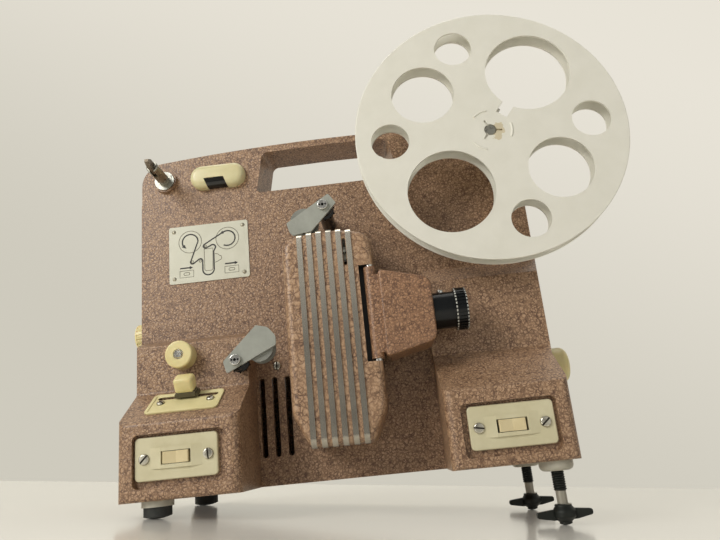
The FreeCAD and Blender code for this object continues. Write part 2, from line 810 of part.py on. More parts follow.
def inlet_block(margin, inward, outward):
    """Box inside the inlet's flange by a margin, from inside the back wall to outside it."""
    half = INLET_LENGTH / 2 - margin
    high = INLET_HEIGHT / 2 - margin
    return block(INLET_X - half, INLET_X + half, REAR_BACK - inward, REAR_BACK + outward,
                 INLET_Z - high, INLET_Z + high)


def make_mains_inlet():
    """Flanged two-pin appliance inlet in the back."""
    outline = rectangle(INLET_X, INLET_Z, INLET_LENGTH, INLET_HEIGHT, 2)
    flange = prism(outline, front_view(REAR_BACK), V(0, INLET_FLANGE, 0))
    body = inlet_block(INLET_EDGE, INLET_DEEP, INLET_FLANGE / 2)
    well = inlet_block(INLET_EDGE + INLET_WALL, INLET_WELL, INLET_FLANGE + 1)
    socket = flange.fuse(body).cut(well)
    pins = []
    for side in (-1, 1):
        start = V(INLET_X + side * INLET_PIN_SPACING / 2, REAR_BACK - INLET_WELL - 0.5, INLET_Z)
        pins.append(rod(INLET_PIN_R, INLET_PIN_LENGTH, start, ALONG_Y))
    return socket.fuse(pins)


def foot_ground():
    """Height of the table in the tilted part, from the lowest point of the left feet."""
    centre_z = -RUBBER_BOTTOM + RUBBER_CROWN
    return LEFT_FOOT_X * math.sin(TILT) + centre_z * math.cos(TILT) - RUBBER_CROWN


def tip_centre():
    """Height of the sphere centre of a right foot's pad, so that it stands on the same table."""
    return (foot_ground() + TIP_CROWN - RIGHT_FOOT_X * math.sin(TILT)) / math.cos(TILT)


def make_foot_bosses():
    """Round bosses under the casting and the rear housing, two of them bored for foot screws."""
    bosses = []
    for y, seat in ((FRONT_FOOT_Y, 0), (REAR_FOOT_Y, REAR_BOTTOM)):
        tall = LEFT_BOSS_HIGH + seat
        bosses.append(rod(LEFT_BOSS_R, tall, V(LEFT_FOOT_X, y, -LEFT_BOSS_HIGH), ALONG_Z))
        tall = SCREW_BOSS_HIGH + seat
        boss = rod(SCREW_BOSS_R, tall, V(RIGHT_FOOT_X, y, -SCREW_BOSS_HIGH), ALONG_Z)
        boss = boss.makeFillet(SCREW_BOSS_EDGE, edges_on(boss, lambda p: near(p.z, -SCREW_BOSS_HIGH)))
        bore = rod(THREAD_R + RUNNING, tall + 2, V(RIGHT_FOOT_X, y, -SCREW_BOSS_HIGH - 1), ALONG_Z)
        bosses.append(boss.cut(bore))
    return Part.makeCompound(bosses)


def make_rubber_feet():
    feet = []
    for y in (FRONT_FOOT_Y, REAR_FOOT_Y):
        pad = rod(RUBBER_R, RUBBER_BOTTOM, V(LEFT_FOOT_X, y, -RUBBER_BOTTOM), ALONG_Z)
        crown = Part.makeSphere(RUBBER_CROWN, V(LEFT_FOOT_X, y, RUBBER_CROWN - RUBBER_BOTTOM))
        boss = rod(LEFT_BOSS_R + 1, RUBBER_BOTTOM, V(LEFT_FOOT_X, y, -LEFT_BOSS_HIGH), ALONG_Z)
        feet.append(pad.common(crown).cut(boss))
    return Part.makeCompound(feet)


def make_foot_tip(y):
    """Pad that stands on the table and doesn't turn with its screw."""
    bottom = tip_centre() - TIP_CROWN
    ball = Part.makeSphere(TIP_CROWN, V(RIGHT_FOOT_X, y, tip_centre()))
    body = rod(TIP_R, TIP_HIGH, V(RIGHT_FOOT_X, y, bottom), ALONG_Z)
    neck = rod(TIP_NECK_R, TIP_NECK_LENGTH + 0.1, V(RIGHT_FOOT_X, y, bottom + TIP_HIGH - 0.1), ALONG_Z)
    return body.common(ball).fuse(neck)


def thread_ridges(low, high):
    """Points of a thread's outline, one ring per pitch, from its run-in up to its end."""
    root = THREAD_R - THREAD_DEPTH
    count = int((high - low) / THREAD_PITCH)
    points = []
    for index in range(count):
        z = low + index * THREAD_PITCH
        points += [(root, z, 0), (THREAD_R, z + THREAD_PITCH * 0.3, 0), (THREAD_R, z + THREAD_PITCH * 0.7, 0)]
    points.append((root, low + count * THREAD_PITCH, 0))
    return points


def make_foot_screw(y):
    """Threaded stem, shank and hub with its two wings, turning on the pad's neck."""
    bottom = tip_centre() - TIP_CROWN + TIP_HIGH
    hub_top = bottom + HUB_HIGH
    shank_top = hub_top + SHANK_LENGTH
    profile = [(0, bottom, 0), (TIP_R, bottom, 0), (HUB_BELLY_R, bottom + WING_END_LOW, HUB_ROUND),
               (HUB_BELLY_R, bottom + WING_END_HIGH, HUB_ROUND),
               (HUB_R, hub_top - HUB_COLLAR, HUB_COLLAR / 2), (HUB_R, hub_top, HUB_COLLAR / 3),
               (SHANK_R, hub_top, 0), (SHANK_R, shank_top, 0)]
    profile += thread_ridges(shank_top + 0.2, THREAD_TOP) + [(0, THREAD_TOP, 0)]
    stem = Part.Face(rounded_wire(profile, lambda r, z: V(r, 0, z))).revolve(V(0, 0, 0), ALONG_Z, 360)
    end = WING_SPAN / 2
    wing = [(0, bottom + WING_ROOT_LOW, 0), (HUB_BELLY_R, bottom + WING_ROOT_LOW, WING_FILLET),
            (end, bottom + WING_END_LOW, WING_ROUND), (end, bottom + WING_END_HIGH, WING_ROUND),
            (HUB_BELLY_R, bottom + WING_ROOT_HIGH, WING_FILLET), (0, bottom + WING_ROOT_HIGH, 0)]
    right = prism(wing, front_view(-WING_THICK / 2), V(0, WING_THICK, 0))
    left = right.mirror(V(0, 0, 0), ALONG_X)
    socket = rod(TIP_NECK_R + RUNNING, TIP_NECK_LENGTH + 0.3, V(0, 0, bottom - 0.1), ALONG_Z)
    screw = stem.fuse([right, left]).cut(socket)
    screw.translate(V(RIGHT_FOOT_X, y, 0))
    return screw


def lamp_outline(inset):
    """Front outline of the lamp housing, set in by a wall: arched top and tapered foot."""
    half = LAMP_HALF - inset
    foot = LAMP_FOOT_HALF - inset * 0.8
    bottom = LAMP_BOTTOM + inset
    corner_z = LAMP_CORNER_Z - inset
    corner = LAMP_CORNER_R - inset
    low_corner = LAMP_FOOT_R - inset
    apex = corner_z + half * math.tan(LAMP_ARCH_ANGLE)
    arch = lamp_arch(half)
    shoulder = LAMP_SHOULDER_R
    return [(LAMP_X - half, LAMP_SHOULDER, shoulder), (LAMP_X - foot, bottom, low_corner),
            (LAMP_X + foot, bottom, low_corner), (LAMP_X + half, LAMP_SHOULDER, shoulder),
            (LAMP_X + half, corner_z, corner), (LAMP_X, apex, arch), (LAMP_X - half, corner_z, corner)]


def lamp_arch(half):
    """Radius of the arched top between two short straights beside its corners."""
    return LAMP_ARCH_SHARE * half / math.sin(LAMP_ARCH_ANGLE)


def lamp_top(offset):
    """Height of the arched top at a distance from the housing's middle."""
    arch = lamp_arch(LAMP_HALF)
    tip = arch * (1 / math.cos(LAMP_ARCH_ANGLE) - 1)
    crest = LAMP_CORNER_Z + LAMP_HALF * math.tan(LAMP_ARCH_ANGLE) - tip
    return crest - arch + math.sqrt(arch * arch - offset * offset)


def lamp_shell(inset, front):
    """Solid of the lamp housing's form, its front rim rounded all the way round."""
    body = prism(lamp_outline(inset), front_view(0), V(0, -front, 0))
    rim = edges_on(body, lambda p: near(p.y, -front))
    return body.makeFillet(LAMP_EDGE - inset, rim)


def hinge_notch():
    """Gap in the housing's right wall for the lens door's hinge barrel."""
    right = LAMP_X + LAMP_HALF + 1
    return block(NOTCH_LEFT, right, -LAMP_FRONT - 1, HINGE_Y + BARREL_R + SEAT, NOTCH_BOTTOM, NOTCH_TOP)


def make_lamp_housing():
    outer = lamp_shell(0, LAMP_FRONT)
    inner = lamp_shell(LAMP_WALL, LAMP_FRONT - LAMP_WALL)
    inner = inner.fuse(prism(lamp_outline(LAMP_WALL), front_view(1), V(0, -2, 0)))
    wall_left = NOTCH_LEFT - NOTCH_WALL
    wall_rear = HINGE_Y + BARREL_R + SEAT + NOTCH_WALL
    casing = block(wall_left, DOOR_LEFT, -LAMP_FRONT, wall_rear, NOTCH_BOTTOM - CASING_PAST,
                   NOTCH_TOP + CASING_PAST)
    shell = outer.cut(inner).fuse(outer.common(casing)).cut(hinge_notch())
    x = LAMP_X + STRIP_SHIFT + 2 * STRIP_PITCH
    slot = rectangle(x, (ADJUST_TOP + ADJUST_BOTTOM) / 2, ADJUST_WIDTH, ADJUST_TOP - ADJUST_BOTTOM,
                     ADJUST_WIDTH / 2 - 0.05)
    adjust = prism(slot, front_view(-LAMP_FRONT - 1), V(0, LAMP_WALL + 2, 0))
    right = LAMP_X + LAMP_HALF
    beam = APERTURE_WIDTH / 2
    light = block(right - LAMP_WALL - 1, right + 1, FILM_Y - beam, FILM_Y + beam,
                  OPTIC_Z - beam, OPTIC_Z + beam)
    return shell.cut([make_hinge_pin(), adjust, light])


def make_cooling_strips():
    """Metal strips bent over the housing's front and seated on its rounded rims."""
    housing = lamp_shell(0, LAMP_FRONT)
    strips = []
    for index in range(STRIP_COUNT):
        offset = (index - (STRIP_COUNT - 1) / 2) * STRIP_PITCH
        top = lamp_top(abs(offset + STRIP_SHIFT))
        outer = LAMP_EDGE + STRIP_THICK
        front = LAMP_FRONT + STRIP_THICK
        rear = LAMP_FRONT - STRIP_REACH
        profile = [(-rear, top + STRIP_THICK, 0), (-front, top + STRIP_THICK, outer),
                   (-front, LAMP_BOTTOM - STRIP_THICK, outer), (-rear, LAMP_BOTTOM - STRIP_THICK, 0),
                   (-rear, LAMP_BOTTOM, 0), (-LAMP_FRONT, LAMP_BOTTOM, LAMP_EDGE),
                   (-LAMP_FRONT, top, LAMP_EDGE), (-rear, top, 0)]
        x = LAMP_X + STRIP_SHIFT + offset - STRIP_WIDTH / 2
        strip = prism(profile, side_view(x), V(STRIP_WIDTH, 0, 0))
        strips.append(strip.cut(housing))
    return Part.makeCompound(strips)


def make_adjust_pin():
    """Pin that raises and lowers the lamp, reaching out through its slot."""
    x = LAMP_X + STRIP_SHIFT + 2 * STRIP_PITCH
    z = (ADJUST_TOP + ADJUST_BOTTOM) / 2
    pin = rod(ADJUST_PIN_R, ADJUST_PIN_LENGTH, V(x, -LAMP_FRONT - ADJUST_PIN_OUT, z), ALONG_Y)
    half = CARRIER_WIDTH / 2
    high = CARRIER_HEIGHT / 2
    wall = -LAMP_FRONT + LAMP_WALL + SEAT
    carrier = block(x - half, x + half, wall, wall + CARRIER_THICK, z - high, z + high)
    return pin.fuse(carrier)


def make_lamp():
    """Tubular projection lamp with a domed end."""
    half = LAMP_GLASS_LENGTH / 2
    glass = rod(LAMP_GLASS_R, LAMP_GLASS_LENGTH, V(LAMP_GLASS_X, FILM_Y, OPTIC_Z - half), ALONG_Z)
    dome = Part.makeSphere(LAMP_GLASS_R, V(LAMP_GLASS_X, FILM_Y, OPTIC_Z + half))
    return glass.fuse(dome)


def make_lamp_holder():
    """Cap under the lamp on an arm from a foot behind the plate."""
    base_z = OPTIC_Z - LAMP_GLASS_LENGTH / 2
    arm_top = base_z - HOLDER_ARM_DROP
    arm_half = HOLDER_ARM_WIDTH / 2
    foot_half = HOLDER_FOOT_WIDTH / 2
    cap = rod(LAMP_GLASS_R + CAP_WALL, CAP_LENGTH, V(LAMP_GLASS_X, FILM_Y, base_z - CAP_LENGTH), ALONG_Z)
    arm = block(LAMP_GLASS_X - arm_half, LAMP_GLASS_X + arm_half, FILM_Y, CAST_WALL + 1,
                arm_top - HOLDER_ARM_THICK, arm_top)
    foot = block(LAMP_GLASS_X - foot_half, LAMP_GLASS_X + foot_half, CAST_WALL, CAST_WALL + BRACKET_THICK,
                 base_z - HOLDER_FOOT_DROP, arm_top)
    return cap.fuse([arm, foot])


def make_reflector():
    """Concave mirror behind the lamp on a short post from the housing's wall."""
    centre = V(LAMP_GLASS_X - MIRROR_AHEAD, FILM_Y, OPTIC_Z)
    dish = Part.makeSphere(MIRROR_R, centre)
    hollow = Part.makeSphere(MIRROR_R - MIRROR_THICK, centre)
    middle = rod(MIRROR_RIM_R, MIRROR_R, centre, V(-1, 0, 0))
    post = rod(MIRROR_POST_R, MIRROR_POST_LENGTH, V(LAMP_X - LAMP_HALF + LAMP_WALL, FILM_Y, OPTIC_Z), ALONG_X)
    return dish.cut(hollow).common(middle).fuse(post)


def make_condenser():
    """Plano-convex lens in a short tube on a bracket."""
    start = LAMP_GLASS_X + LAMP_GLASS_R + CONDENSER_GAP
    end = SHUTTER_X - CONDENSER_GAP
    tube = rod(CONDENSER_R + CONDENSER_WALL, end - start, V(start, FILM_Y, OPTIC_Z), ALONG_X)
    bore = rod(CONDENSER_R, end - start + 2, V(start - 1, FILM_Y, OPTIC_Z), ALONG_X)
    ball = Part.makeSphere(CONDENSER_BULGE_R, V(start + CONDENSER_BULGE_R + 0.5, FILM_Y, OPTIC_Z))
    lens = ball.common(rod(CONDENSER_R, CONDENSER_LENS, V(start, FILM_Y, OPTIC_Z), ALONG_X))
    top = OPTIC_Z + BRACKET_THICK
    bracket = block(start + 1, end - 1, FILM_Y + CONDENSER_R + CONDENSER_WALL / 2, CAST_WALL + 1,
                    OPTIC_Z - BRACKET_THICK, top)
    foot = block(start + 1, end - 1, CAST_WALL, CAST_WALL + BRACKET_THICK, OPTIC_Z - CONDENSER_FOOT_DROP, top)
    return tube.cut(bore).fuse([lens, bracket, foot])


def make_film_gate():
    """Gate plate with its aperture and two film rails."""
    x = LAMP_X + LAMP_HALF
    high = GATE_HEIGHT / 2
    plate = block(x, x + GATE_THICK, -GATE_FRONT, -GATE_FRONT + GATE_WIDTH, OPTIC_Z - high, OPTIC_Z + high)
    rails = []
    for y in (FILM_Y - FILM_WIDTH / 2 - RAIL_WIDTH, FILM_Y + FILM_WIDTH / 2):
        rails.append(block(x + GATE_THICK, x + GATE_THICK + RAIL_HIGH, y, y + RAIL_WIDTH,
                           OPTIC_Z - RAIL_LENGTH / 2, OPTIC_Z + RAIL_LENGTH / 2))
    aperture = block(x - 1, x + GATE_THICK + 1, FILM_Y - APERTURE_WIDTH / 2, FILM_Y + APERTURE_WIDTH / 2,
                     OPTIC_Z - APERTURE_HEIGHT / 2, OPTIC_Z + APERTURE_HEIGHT / 2)
    return plate.fuse(rails).cut(aperture)


def make_lens_door():
    """Cast door with its hinge barrel, film relief and the bore for the lens."""
    face = [(DOOR_LEFT, DOOR_BOTTOM_LEFT, DOOR_HINGE_R), (DOOR_RIGHT, DOOR_BOTTOM_RIGHT, DOOR_BOTTOM_R),
            (DOOR_RIGHT, DOOR_TOP_RIGHT, DOOR_TOP_R), (DOOR_LEFT, DOOR_TOP_LEFT, DOOR_HINGE_R)]
    body = prism(face, front_view(-DOOR_REAR), V(0, DOOR_REAR - DOOR_FRONT, 0))
    body = body.makeFillet(DOOR_EDGE, edges_on(body, lambda p: near(p.y, -DOOR_FRONT)))
    low = NOTCH_BOTTOM + BARREL_END_GAP
    high = NOTCH_TOP - BARREL_END_GAP
    barrel = rod(BARREL_R, high - low, V(HINGE_X, HINGE_Y, low), ALONG_Z)
    web = block(HINGE_X, DOOR_LEFT + WEB_INSET, HINGE_Y - BARREL_R, HINGE_Y + WEB_BEHIND,
                DOOR_BOTTOM_LEFT + WEB_INSET, DOOR_TOP_LEFT - WEB_INSET)
    relief = block(DOOR_LEFT - 1, DOOR_LEFT + FILM_CHANNEL, HINGE_Y + BARREL_R - 1, 0,
                   DOOR_BOTTOM_LEFT - 1, DOOR_TOP_LEFT + 1)
    bore = rod(LENS_R + RUNNING, DOOR_RIGHT - DOOR_LEFT + 2, V(DOOR_LEFT - 1, FILM_Y, OPTIC_Z), ALONG_X)
    pin = rod(PIN_R + RUNNING, high - low + 2, V(HINGE_X, HINGE_Y, low - 1), ALONG_Z)
    return body.fuse([barrel, web]).cut([relief, bore, pin])


def make_hinge_pin():
    length = NOTCH_TOP - NOTCH_BOTTOM + 2 * PIN_PAST
    return rod(PIN_R, length, V(HINGE_X, HINGE_Y, NOTCH_BOTTOM - PIN_PAST), ALONG_Z)


def make_lens_barrel():
    length = LENS_TO - LENS_FROM
    tube = rod(LENS_R, length, V(LENS_FROM, FILM_Y, OPTIC_Z), ALONG_X)
    neck = rod(LENS_NECK_R, FOCUS_TO - LENS_TO - 1, V(LENS_TO, FILM_Y, OPTIC_Z), ALONG_X)
    bore = rod(GLASS_R, FOCUS_TO, V(LENS_FROM - 1, FILM_Y, OPTIC_Z), ALONG_X)
    return tube.fuse(neck).cut(bore)


def make_focus_ring():
    """Ring round the lens with its lands cut by a pattern of grooves."""
    length = FOCUS_TO - FOCUS_FROM
    ring = rod(FOCUS_R, length, V(FOCUS_FROM, FILM_Y, OPTIC_Z), ALONG_X)
    front_edge = edges_on(ring, lambda p: near(p.x, FOCUS_TO))
    ring = ring.makeFillet(FOCUS_EDGE, front_edge)
    step = rod(LENS_R + RUNNING, LENS_TO + SEAT - FOCUS_FROM + 1, V(FOCUS_FROM - 1, FILM_Y, OPTIC_Z), ALONG_X)
    hole = rod(LENS_NECK_R + RUNNING, length + 2, V(FOCUS_FROM - 1, FILM_Y, OPTIC_Z), ALONG_X)
    cuts = [step, hole]
    half = GROOVE_WIDTH / 2
    groove = block(FOCUS_FROM + GROOVE_INSET, FOCUS_TO - GROOVE_INSET, FILM_Y - half, FILM_Y + half,
                   OPTIC_Z + FOCUS_R - GROOVE_DEEP, OPTIC_Z + FOCUS_R + 1)
    for index in range(FOCUS_LANDS):
        turned = groove.copy()
        turned.rotate(V(0, FILM_Y, OPTIC_Z), ALONG_X, index * 360.0 / FOCUS_LANDS)
        cuts.append(turned)
    return ring.cut(cuts)


def make_lens_glass():
    """Front and rear lens elements seated in the barrel."""
    elements = []
    for x, bulge in ((LENS_TO - GLASS_INSET, 1), (LENS_FROM + GLASS_INSET, -1)):
        centre = x - bulge * (GLASS_BULGE_R - GLASS_THICK / 2 - 1)
        ball = Part.makeSphere(GLASS_BULGE_R, V(centre, FILM_Y, OPTIC_Z))
        disc = rod(GLASS_R, GLASS_THICK, V(x - GLASS_THICK / 2, FILM_Y, OPTIC_Z), ALONG_X)
        elements.append(ball.common(disc))
    return Part.makeCompound(elements)


def make_clamp_screw():
    """Small domed screw on top of the lens barrel, just outside the door."""
    low = OPTIC_Z + LENS_R - 1
    head = rod(CLAMP_HEAD_R, CLAMP_HIGH + 1, V(CLAMP_X, FILM_Y, low), ALONG_Z)
    head = head.makeFillet(CLAMP_EDGE, edges_on(head, lambda p: near(p.z, low + CLAMP_HIGH + 1)))
    return head.cut(rod(LENS_R, 4 * CLAMP_HEAD_R, V(CLAMP_X - 2 * CLAMP_HEAD_R, FILM_Y, OPTIC_Z), ALONG_X))


def arm_point(stud_x, stud_z, turn, u, v):
    """Front-view point at u along a guide arm and v across it."""
    angle = math.radians(turn)
    return (stud_x + u * math.cos(angle) - v * math.sin(angle),
            stud_z + u * math.sin(angle) + v * math.cos(angle))


def make_arm(stud_x, stud_z, turn, outline):
    """Flat guide arm that widens to a rounded end, with its roller's stud."""
    corners = []
    for u, v, radius in outline:
        x, z = arm_point(stud_x, stud_z, turn, u, v)
        corners.append((x, z, radius))
    plate = prism(corners, front_view(-ARM_FRONT), V(0, ARM_THICK, 0))
    hole = rod(STUD_R + RUNNING, ARM_THICK + 2, V(stud_x, -ARM_FRONT - 1, stud_z), ALONG_Y)
    x, z = arm_point(stud_x, stud_z, turn, ARM_ROLLER_U, ARM_ROLLER_V)
    stud_long = ARM_THICK + ROLLER_WIDTH + 2 * SEAT
    stud = rod(STUD_R, stud_long, V(x, -ARM_FRONT, z), ALONG_Y)
    cap = rod(STUD_CAP_R, STUD_CAP_HIGH, V(x, -ARM_FRONT + stud_long, z), ALONG_Y)
    return plate.cut(hole).fuse([stud, cap])


def make_roller(stud_x, stud_z, turn):
    """Flanged film roller that turns on the guide arm's stud."""
    x, z = arm_point(stud_x, stud_z, turn, ARM_ROLLER_U, ARM_ROLLER_V)
    front = -ARM_FRONT + ARM_THICK + SEAT
    rear = front + ROLLER_WIDTH
    profile = [(STUD_R + RUNNING, front), (ROLLER_FLANGE_R, front), (ROLLER_FLANGE_R, front + ROLLER_FLANGE),
               (ROLLER_CORE_R, front + ROLLER_FLANGE), (ROLLER_CORE_R, rear - ROLLER_FLANGE),
               (ROLLER_FLANGE_R, rear - ROLLER_FLANGE), (ROLLER_FLANGE_R, rear), (STUD_R + RUNNING, rear)]
    corners = [(radius, y, 0) for radius, y in profile]
    face = Part.Face(rounded_wire(corners, lambda r, y: V(x + r, y, z)))
    return face.revolve(V(x, 0, z), ALONG_Y, 360)


def make_sprocket(stud_x, stud_z, base):
    """Film sprocket on its neck; base is the depth of the face that it stands on."""
    front = -ARM_FRONT + ARM_THICK + SEAT
    tip = -ARM_FRONT - STUD_CAP_HIGH
    neck_end = base - SEAT
    waist_r = SPROCKET_R - SPROCKET_WAIST
    land_end = SPROCKET_BEVEL + SPROCKET_LAND
    profile = [(0, tip), (STUD_R, tip), (STUD_R, front), (SPROCKET_R - SPROCKET_LAND, front),
               (SPROCKET_R, front + SPROCKET_BEVEL), (SPROCKET_R, front + land_end),
               (waist_r, front + SPROCKET_WAIST_FROM), (waist_r, front + SPROCKET_WAIST_TO),
               (SPROCKET_R, front + SPROCKET_WAIST_TO + SPROCKET_BEVEL),
               (SPROCKET_R, front + SPROCKET_TO - SPROCKET_BEVEL / 2), (SPROCKET_NECK_R, front + SPROCKET_TO),
               (SPROCKET_NECK_R, neck_end), (STUD_R, neck_end), (STUD_R, base + CAST_WALL + 1),
               (0, base + CAST_WALL + 1)]
    corners = [(radius, y, 0) for radius, y in profile]
    body = Part.Face(rounded_wire(corners, lambda r, y: V(r, y, 0))).revolve(V(0, 0, 0), ALONG_Y, 360)
    root = SPROCKET_R - TOOTH_HIGH / 2
    crest = SPROCKET_R + TOOTH_HIGH
    tooth = prism([(-TOOTH_ROOT / 2, root, 0), (TOOTH_ROOT / 2, root, 0), (TOOTH_TIP / 2, crest, 0),
                   (-TOOTH_TIP / 2, crest, 0)], front_view(front + TOOTH_FROM), V(0, TOOTH_LONG, 0))
    teeth = []
    for index in range(SPROCKET_TEETH):
        turned = tooth.copy()
        turned.rotate(V(0, 0, 0), ALONG_Y, index * 360.0 / SPROCKET_TEETH)
        teeth.append(turned)
    body = body.fuse(teeth)
    body.translate(V(stud_x, 0, stud_z))
    return body


def make_nut(stud_x, stud_z):
    """Round nut with two holes for a pin spanner, on the arm's front face."""
    seat = -ARM_FRONT - NUT_HIGH
    nut = rod(NUT_R, NUT_HIGH, V(stud_x, seat, stud_z), ALONG_Y)
    nut = nut.makeFillet(NUT_EDGE, edges_on(nut, lambda p: near(p.y, seat)))
    cuts = [rod(STUD_R + RUNNING, NUT_BORE_DEEP + 1, V(stud_x, -ARM_FRONT - NUT_BORE_DEEP, stud_z), ALONG_Y)]
    for side in (-1, 1):
        start = V(stud_x + side * NUT_HOLE_AT, seat - 1, stud_z)
        cuts.append(rod(NUT_HOLE_R, NUT_HOLE_DEEP + 1, start, ALONG_Y))
    return nut.cut(cuts)


def turned_spindle(x, z, shoulder, tip):
    """Spindle from its inner collar to its tip; a reel rests on the shoulder."""
    inner = CAST_DEPTH + SEAT
    end = inner + COLLAR_HIGH
    corners = [(0, end, 0), (COLLAR_R, end, SPINDLE_BEVEL), (COLLAR_R, inner, 0), (JOURNAL_R, inner, 0),
               (JOURNAL_R, shoulder, 0), (SPINDLE_R, shoulder, 0),
               (SPINDLE_R, tip + SPINDLE_BEVEL, 0), (SPINDLE_R - SPINDLE_BEVEL, tip, 0), (0, tip, 0)]
    face = Part.Face(rounded_wire(corners, lambda r, y: V(x + r, y, z)))
    return face.revolve(V(x, 0, z), ALONG_Y, 360)


def make_takeup_spindle():
    """Drive spindle with a fork at its end for the folding reel latch."""
    tip = -LATCH_PIVOT - FORK_PAST
    body = turned_spindle(TAKEUP_X, TAKEUP_Z, -BOSS_HIGH - WASHER_THICK, tip)
    half = LATCH_WIDTH / 2 + RUNNING
    slot = block(TAKEUP_X - half, TAKEUP_X + half, tip - 1, -LATCH_PIVOT + FORK_DEEP,
                 TAKEUP_Z - JOURNAL_R, TAKEUP_Z + JOURNAL_R)
    reach = SPINDLE_R - SEAT
    pin = rod(LATCH_PIN_R, 2 * reach, V(TAKEUP_X - reach, -LATCH_PIVOT, TAKEUP_Z), ALONG_X)
    return body.cut(slot).fuse(pin)


def make_takeup_latch():
    """Wedge-ended latch in line with the spindle; it folds across to hold a reel."""
    half = LATCH_WIDTH / 2
    end = -LATCH_PIVOT + LATCH_BEHIND
    taper = -SPINDLE_TIP + LATCH_TAPER
    profile = [(end, -LATCH_HALF, 2.4), (end, LATCH_HALF, 2.4), (taper, LATCH_WIDE_HALF, 1.0),
               (-SPINDLE_TIP, LATCH_POINT, 0.4), (-SPINDLE_TIP, -LATCH_POINT, 0.4),
               (taper, -LATCH_WIDE_HALF, 1.0)]
    blade = prism(profile, lambda y, z: V(TAKEUP_X - half, y, TAKEUP_Z + z), V(LATCH_WIDTH, 0, 0))
    past = LATCH_WIDTH + 2
    pivot = rod(LATCH_PIN_R + RUNNING, past, V(TAKEUP_X - half - 1, -LATCH_PIVOT, TAKEUP_Z), ALONG_X)
    hole = rod(LATCH_HOLE_R, past, V(TAKEUP_X - half - 1, -SPINDLE_TIP + LATCH_HOLE_AT, TAKEUP_Z), ALONG_X)
    return blade.cut([pivot, hole])


def make_supply_spindle():
    shoulder = -SPINDLE_TIP + REEL_WIDTH + SEAT
    return turned_spindle(SUPPLY_X, SUPPLY_Z, shoulder, -SPINDLE_TIP)


def make_spindle_washers():
    washers = []
    for x, z in ((TAKEUP_X, TAKEUP_Z), (SUPPLY_X, SUPPLY_Z)):
        ring = rod(WASHER_R, WASHER_THICK, V(x, -BOSS_HIGH, z), FRONT)
        bore = rod(JOURNAL_R + RUNNING, WASHER_THICK + 2, V(x, -BOSS_HIGH + 1, z), FRONT)
        face = -BOSS_HIGH - WASHER_THICK
        slot = block(x + WASHER_SLOT_FROM, x + WASHER_R - SPINDLE_BEVEL, face - 1, face + WASHER_THICK / 2,
                     z + WASHER_SLOT_LOW, z + WASHER_SLOT_HIGH)
        washers.append(ring.cut([bore, slot]))
    return Part.makeCompound(washers)


def reel_point(angle, reach):
    turn = math.radians(angle)
    return SUPPLY_X + reach * math.cos(turn), SUPPLY_Z + reach * math.sin(turn)


def reel_rib(angle, front):
    """Low rounded rib beside the hub, bent about the reel's middle."""
    half = RIB_WIDTH / 2
    low = front + REEL_SHEET / 2
    round_r = half - RUNNING
    corners = [(RIB_R - half, low, 0), (RIB_R - half, front - RIB_HIGH, round_r),
               (RIB_R + half, front - RIB_HIGH, round_r), (RIB_R + half, low, 0)]
    face = Part.Face(rounded_wire(corners, lambda r, y: V(SUPPLY_X + r, y, SUPPLY_Z)))
    rib = face.revolve(V(SUPPLY_X, 0, SUPPLY_Z), ALONG_Y, 2 * RIB_REACH)
    rib.rotate(V(SUPPLY_X, 0, SUPPLY_Z), ALONG_Y, -angle - RIB_REACH)
    return rib


def make_reel_flange(front):
    """Flange with its eight round windows, the key slots and the film notch."""
    sheet = rod(REEL_R, REEL_SHEET, V(SUPPLY_X, front, SUPPLY_Z), ALONG_Y)
    edges = edges_on(sheet, lambda p: near(p.y, front) or near(p.y, front + REEL_SHEET))
    sheet = sheet.makeFillet(REEL_SHEET / 2 - 0.05, edges)
    past = REEL_SHEET + 2
    cuts = [rod(SPINDLE_R + RUNNING, past, V(SUPPLY_X, front - 1, SUPPLY_Z), ALONG_Y)]
    windows = ((SMALL_HOLE_R, SMALL_HOLE_AT, SMALL_HOLE_ANGLES), (BIG_HOLE_R, BIG_HOLE_AT, BIG_HOLE_ANGLES),
               (MEDIUM_HOLE_R, MEDIUM_HOLE_AT, MEDIUM_HOLE_ANGLES))
    for radius, reach, angles in windows:
        for angle in angles:
            x, z = reel_point(angle, reach)
            cuts.append(rod(radius, past, V(x, front - 1, z), ALONG_Y))
    for angle in KEY_SLOT_ANGLES:
        slot = block(SUPPLY_X, SUPPLY_X + KEY_SLOT_TO, front - 1, front + past,
                     SUPPLY_Z - KEY_SLOT_WIDTH / 2, SUPPLY_Z + KEY_SLOT_WIDTH / 2)
        slot.rotate(V(SUPPLY_X, 0, SUPPLY_Z), ALONG_Y, -angle)
        cuts.append(slot)
    notch_end = BIG_HOLE_AT - BIG_HOLE_R + NOTCH_PAST
    notch = block(SUPPLY_X + REEL_HUB_R, SUPPLY_X + notch_end, front - 1, front + past,
                  SUPPLY_Z - FILM_NOTCH_WIDTH / 2, SUPPLY_Z + FILM_NOTCH_WIDTH / 2)
    notch.rotate(V(SUPPLY_X, 0, SUPPLY_Z), ALONG_Y, -FILM_NOTCH_ANGLE)
    cuts.append(notch)
    return sheet.cut(cuts)


def make_front_flange():
    """Front flange with the three ribs beside its key slots."""
    front = -SPINDLE_TIP
    return make_reel_flange(front).fuse([reel_rib(angle, front) for angle in KEY_SLOT_ANGLES])


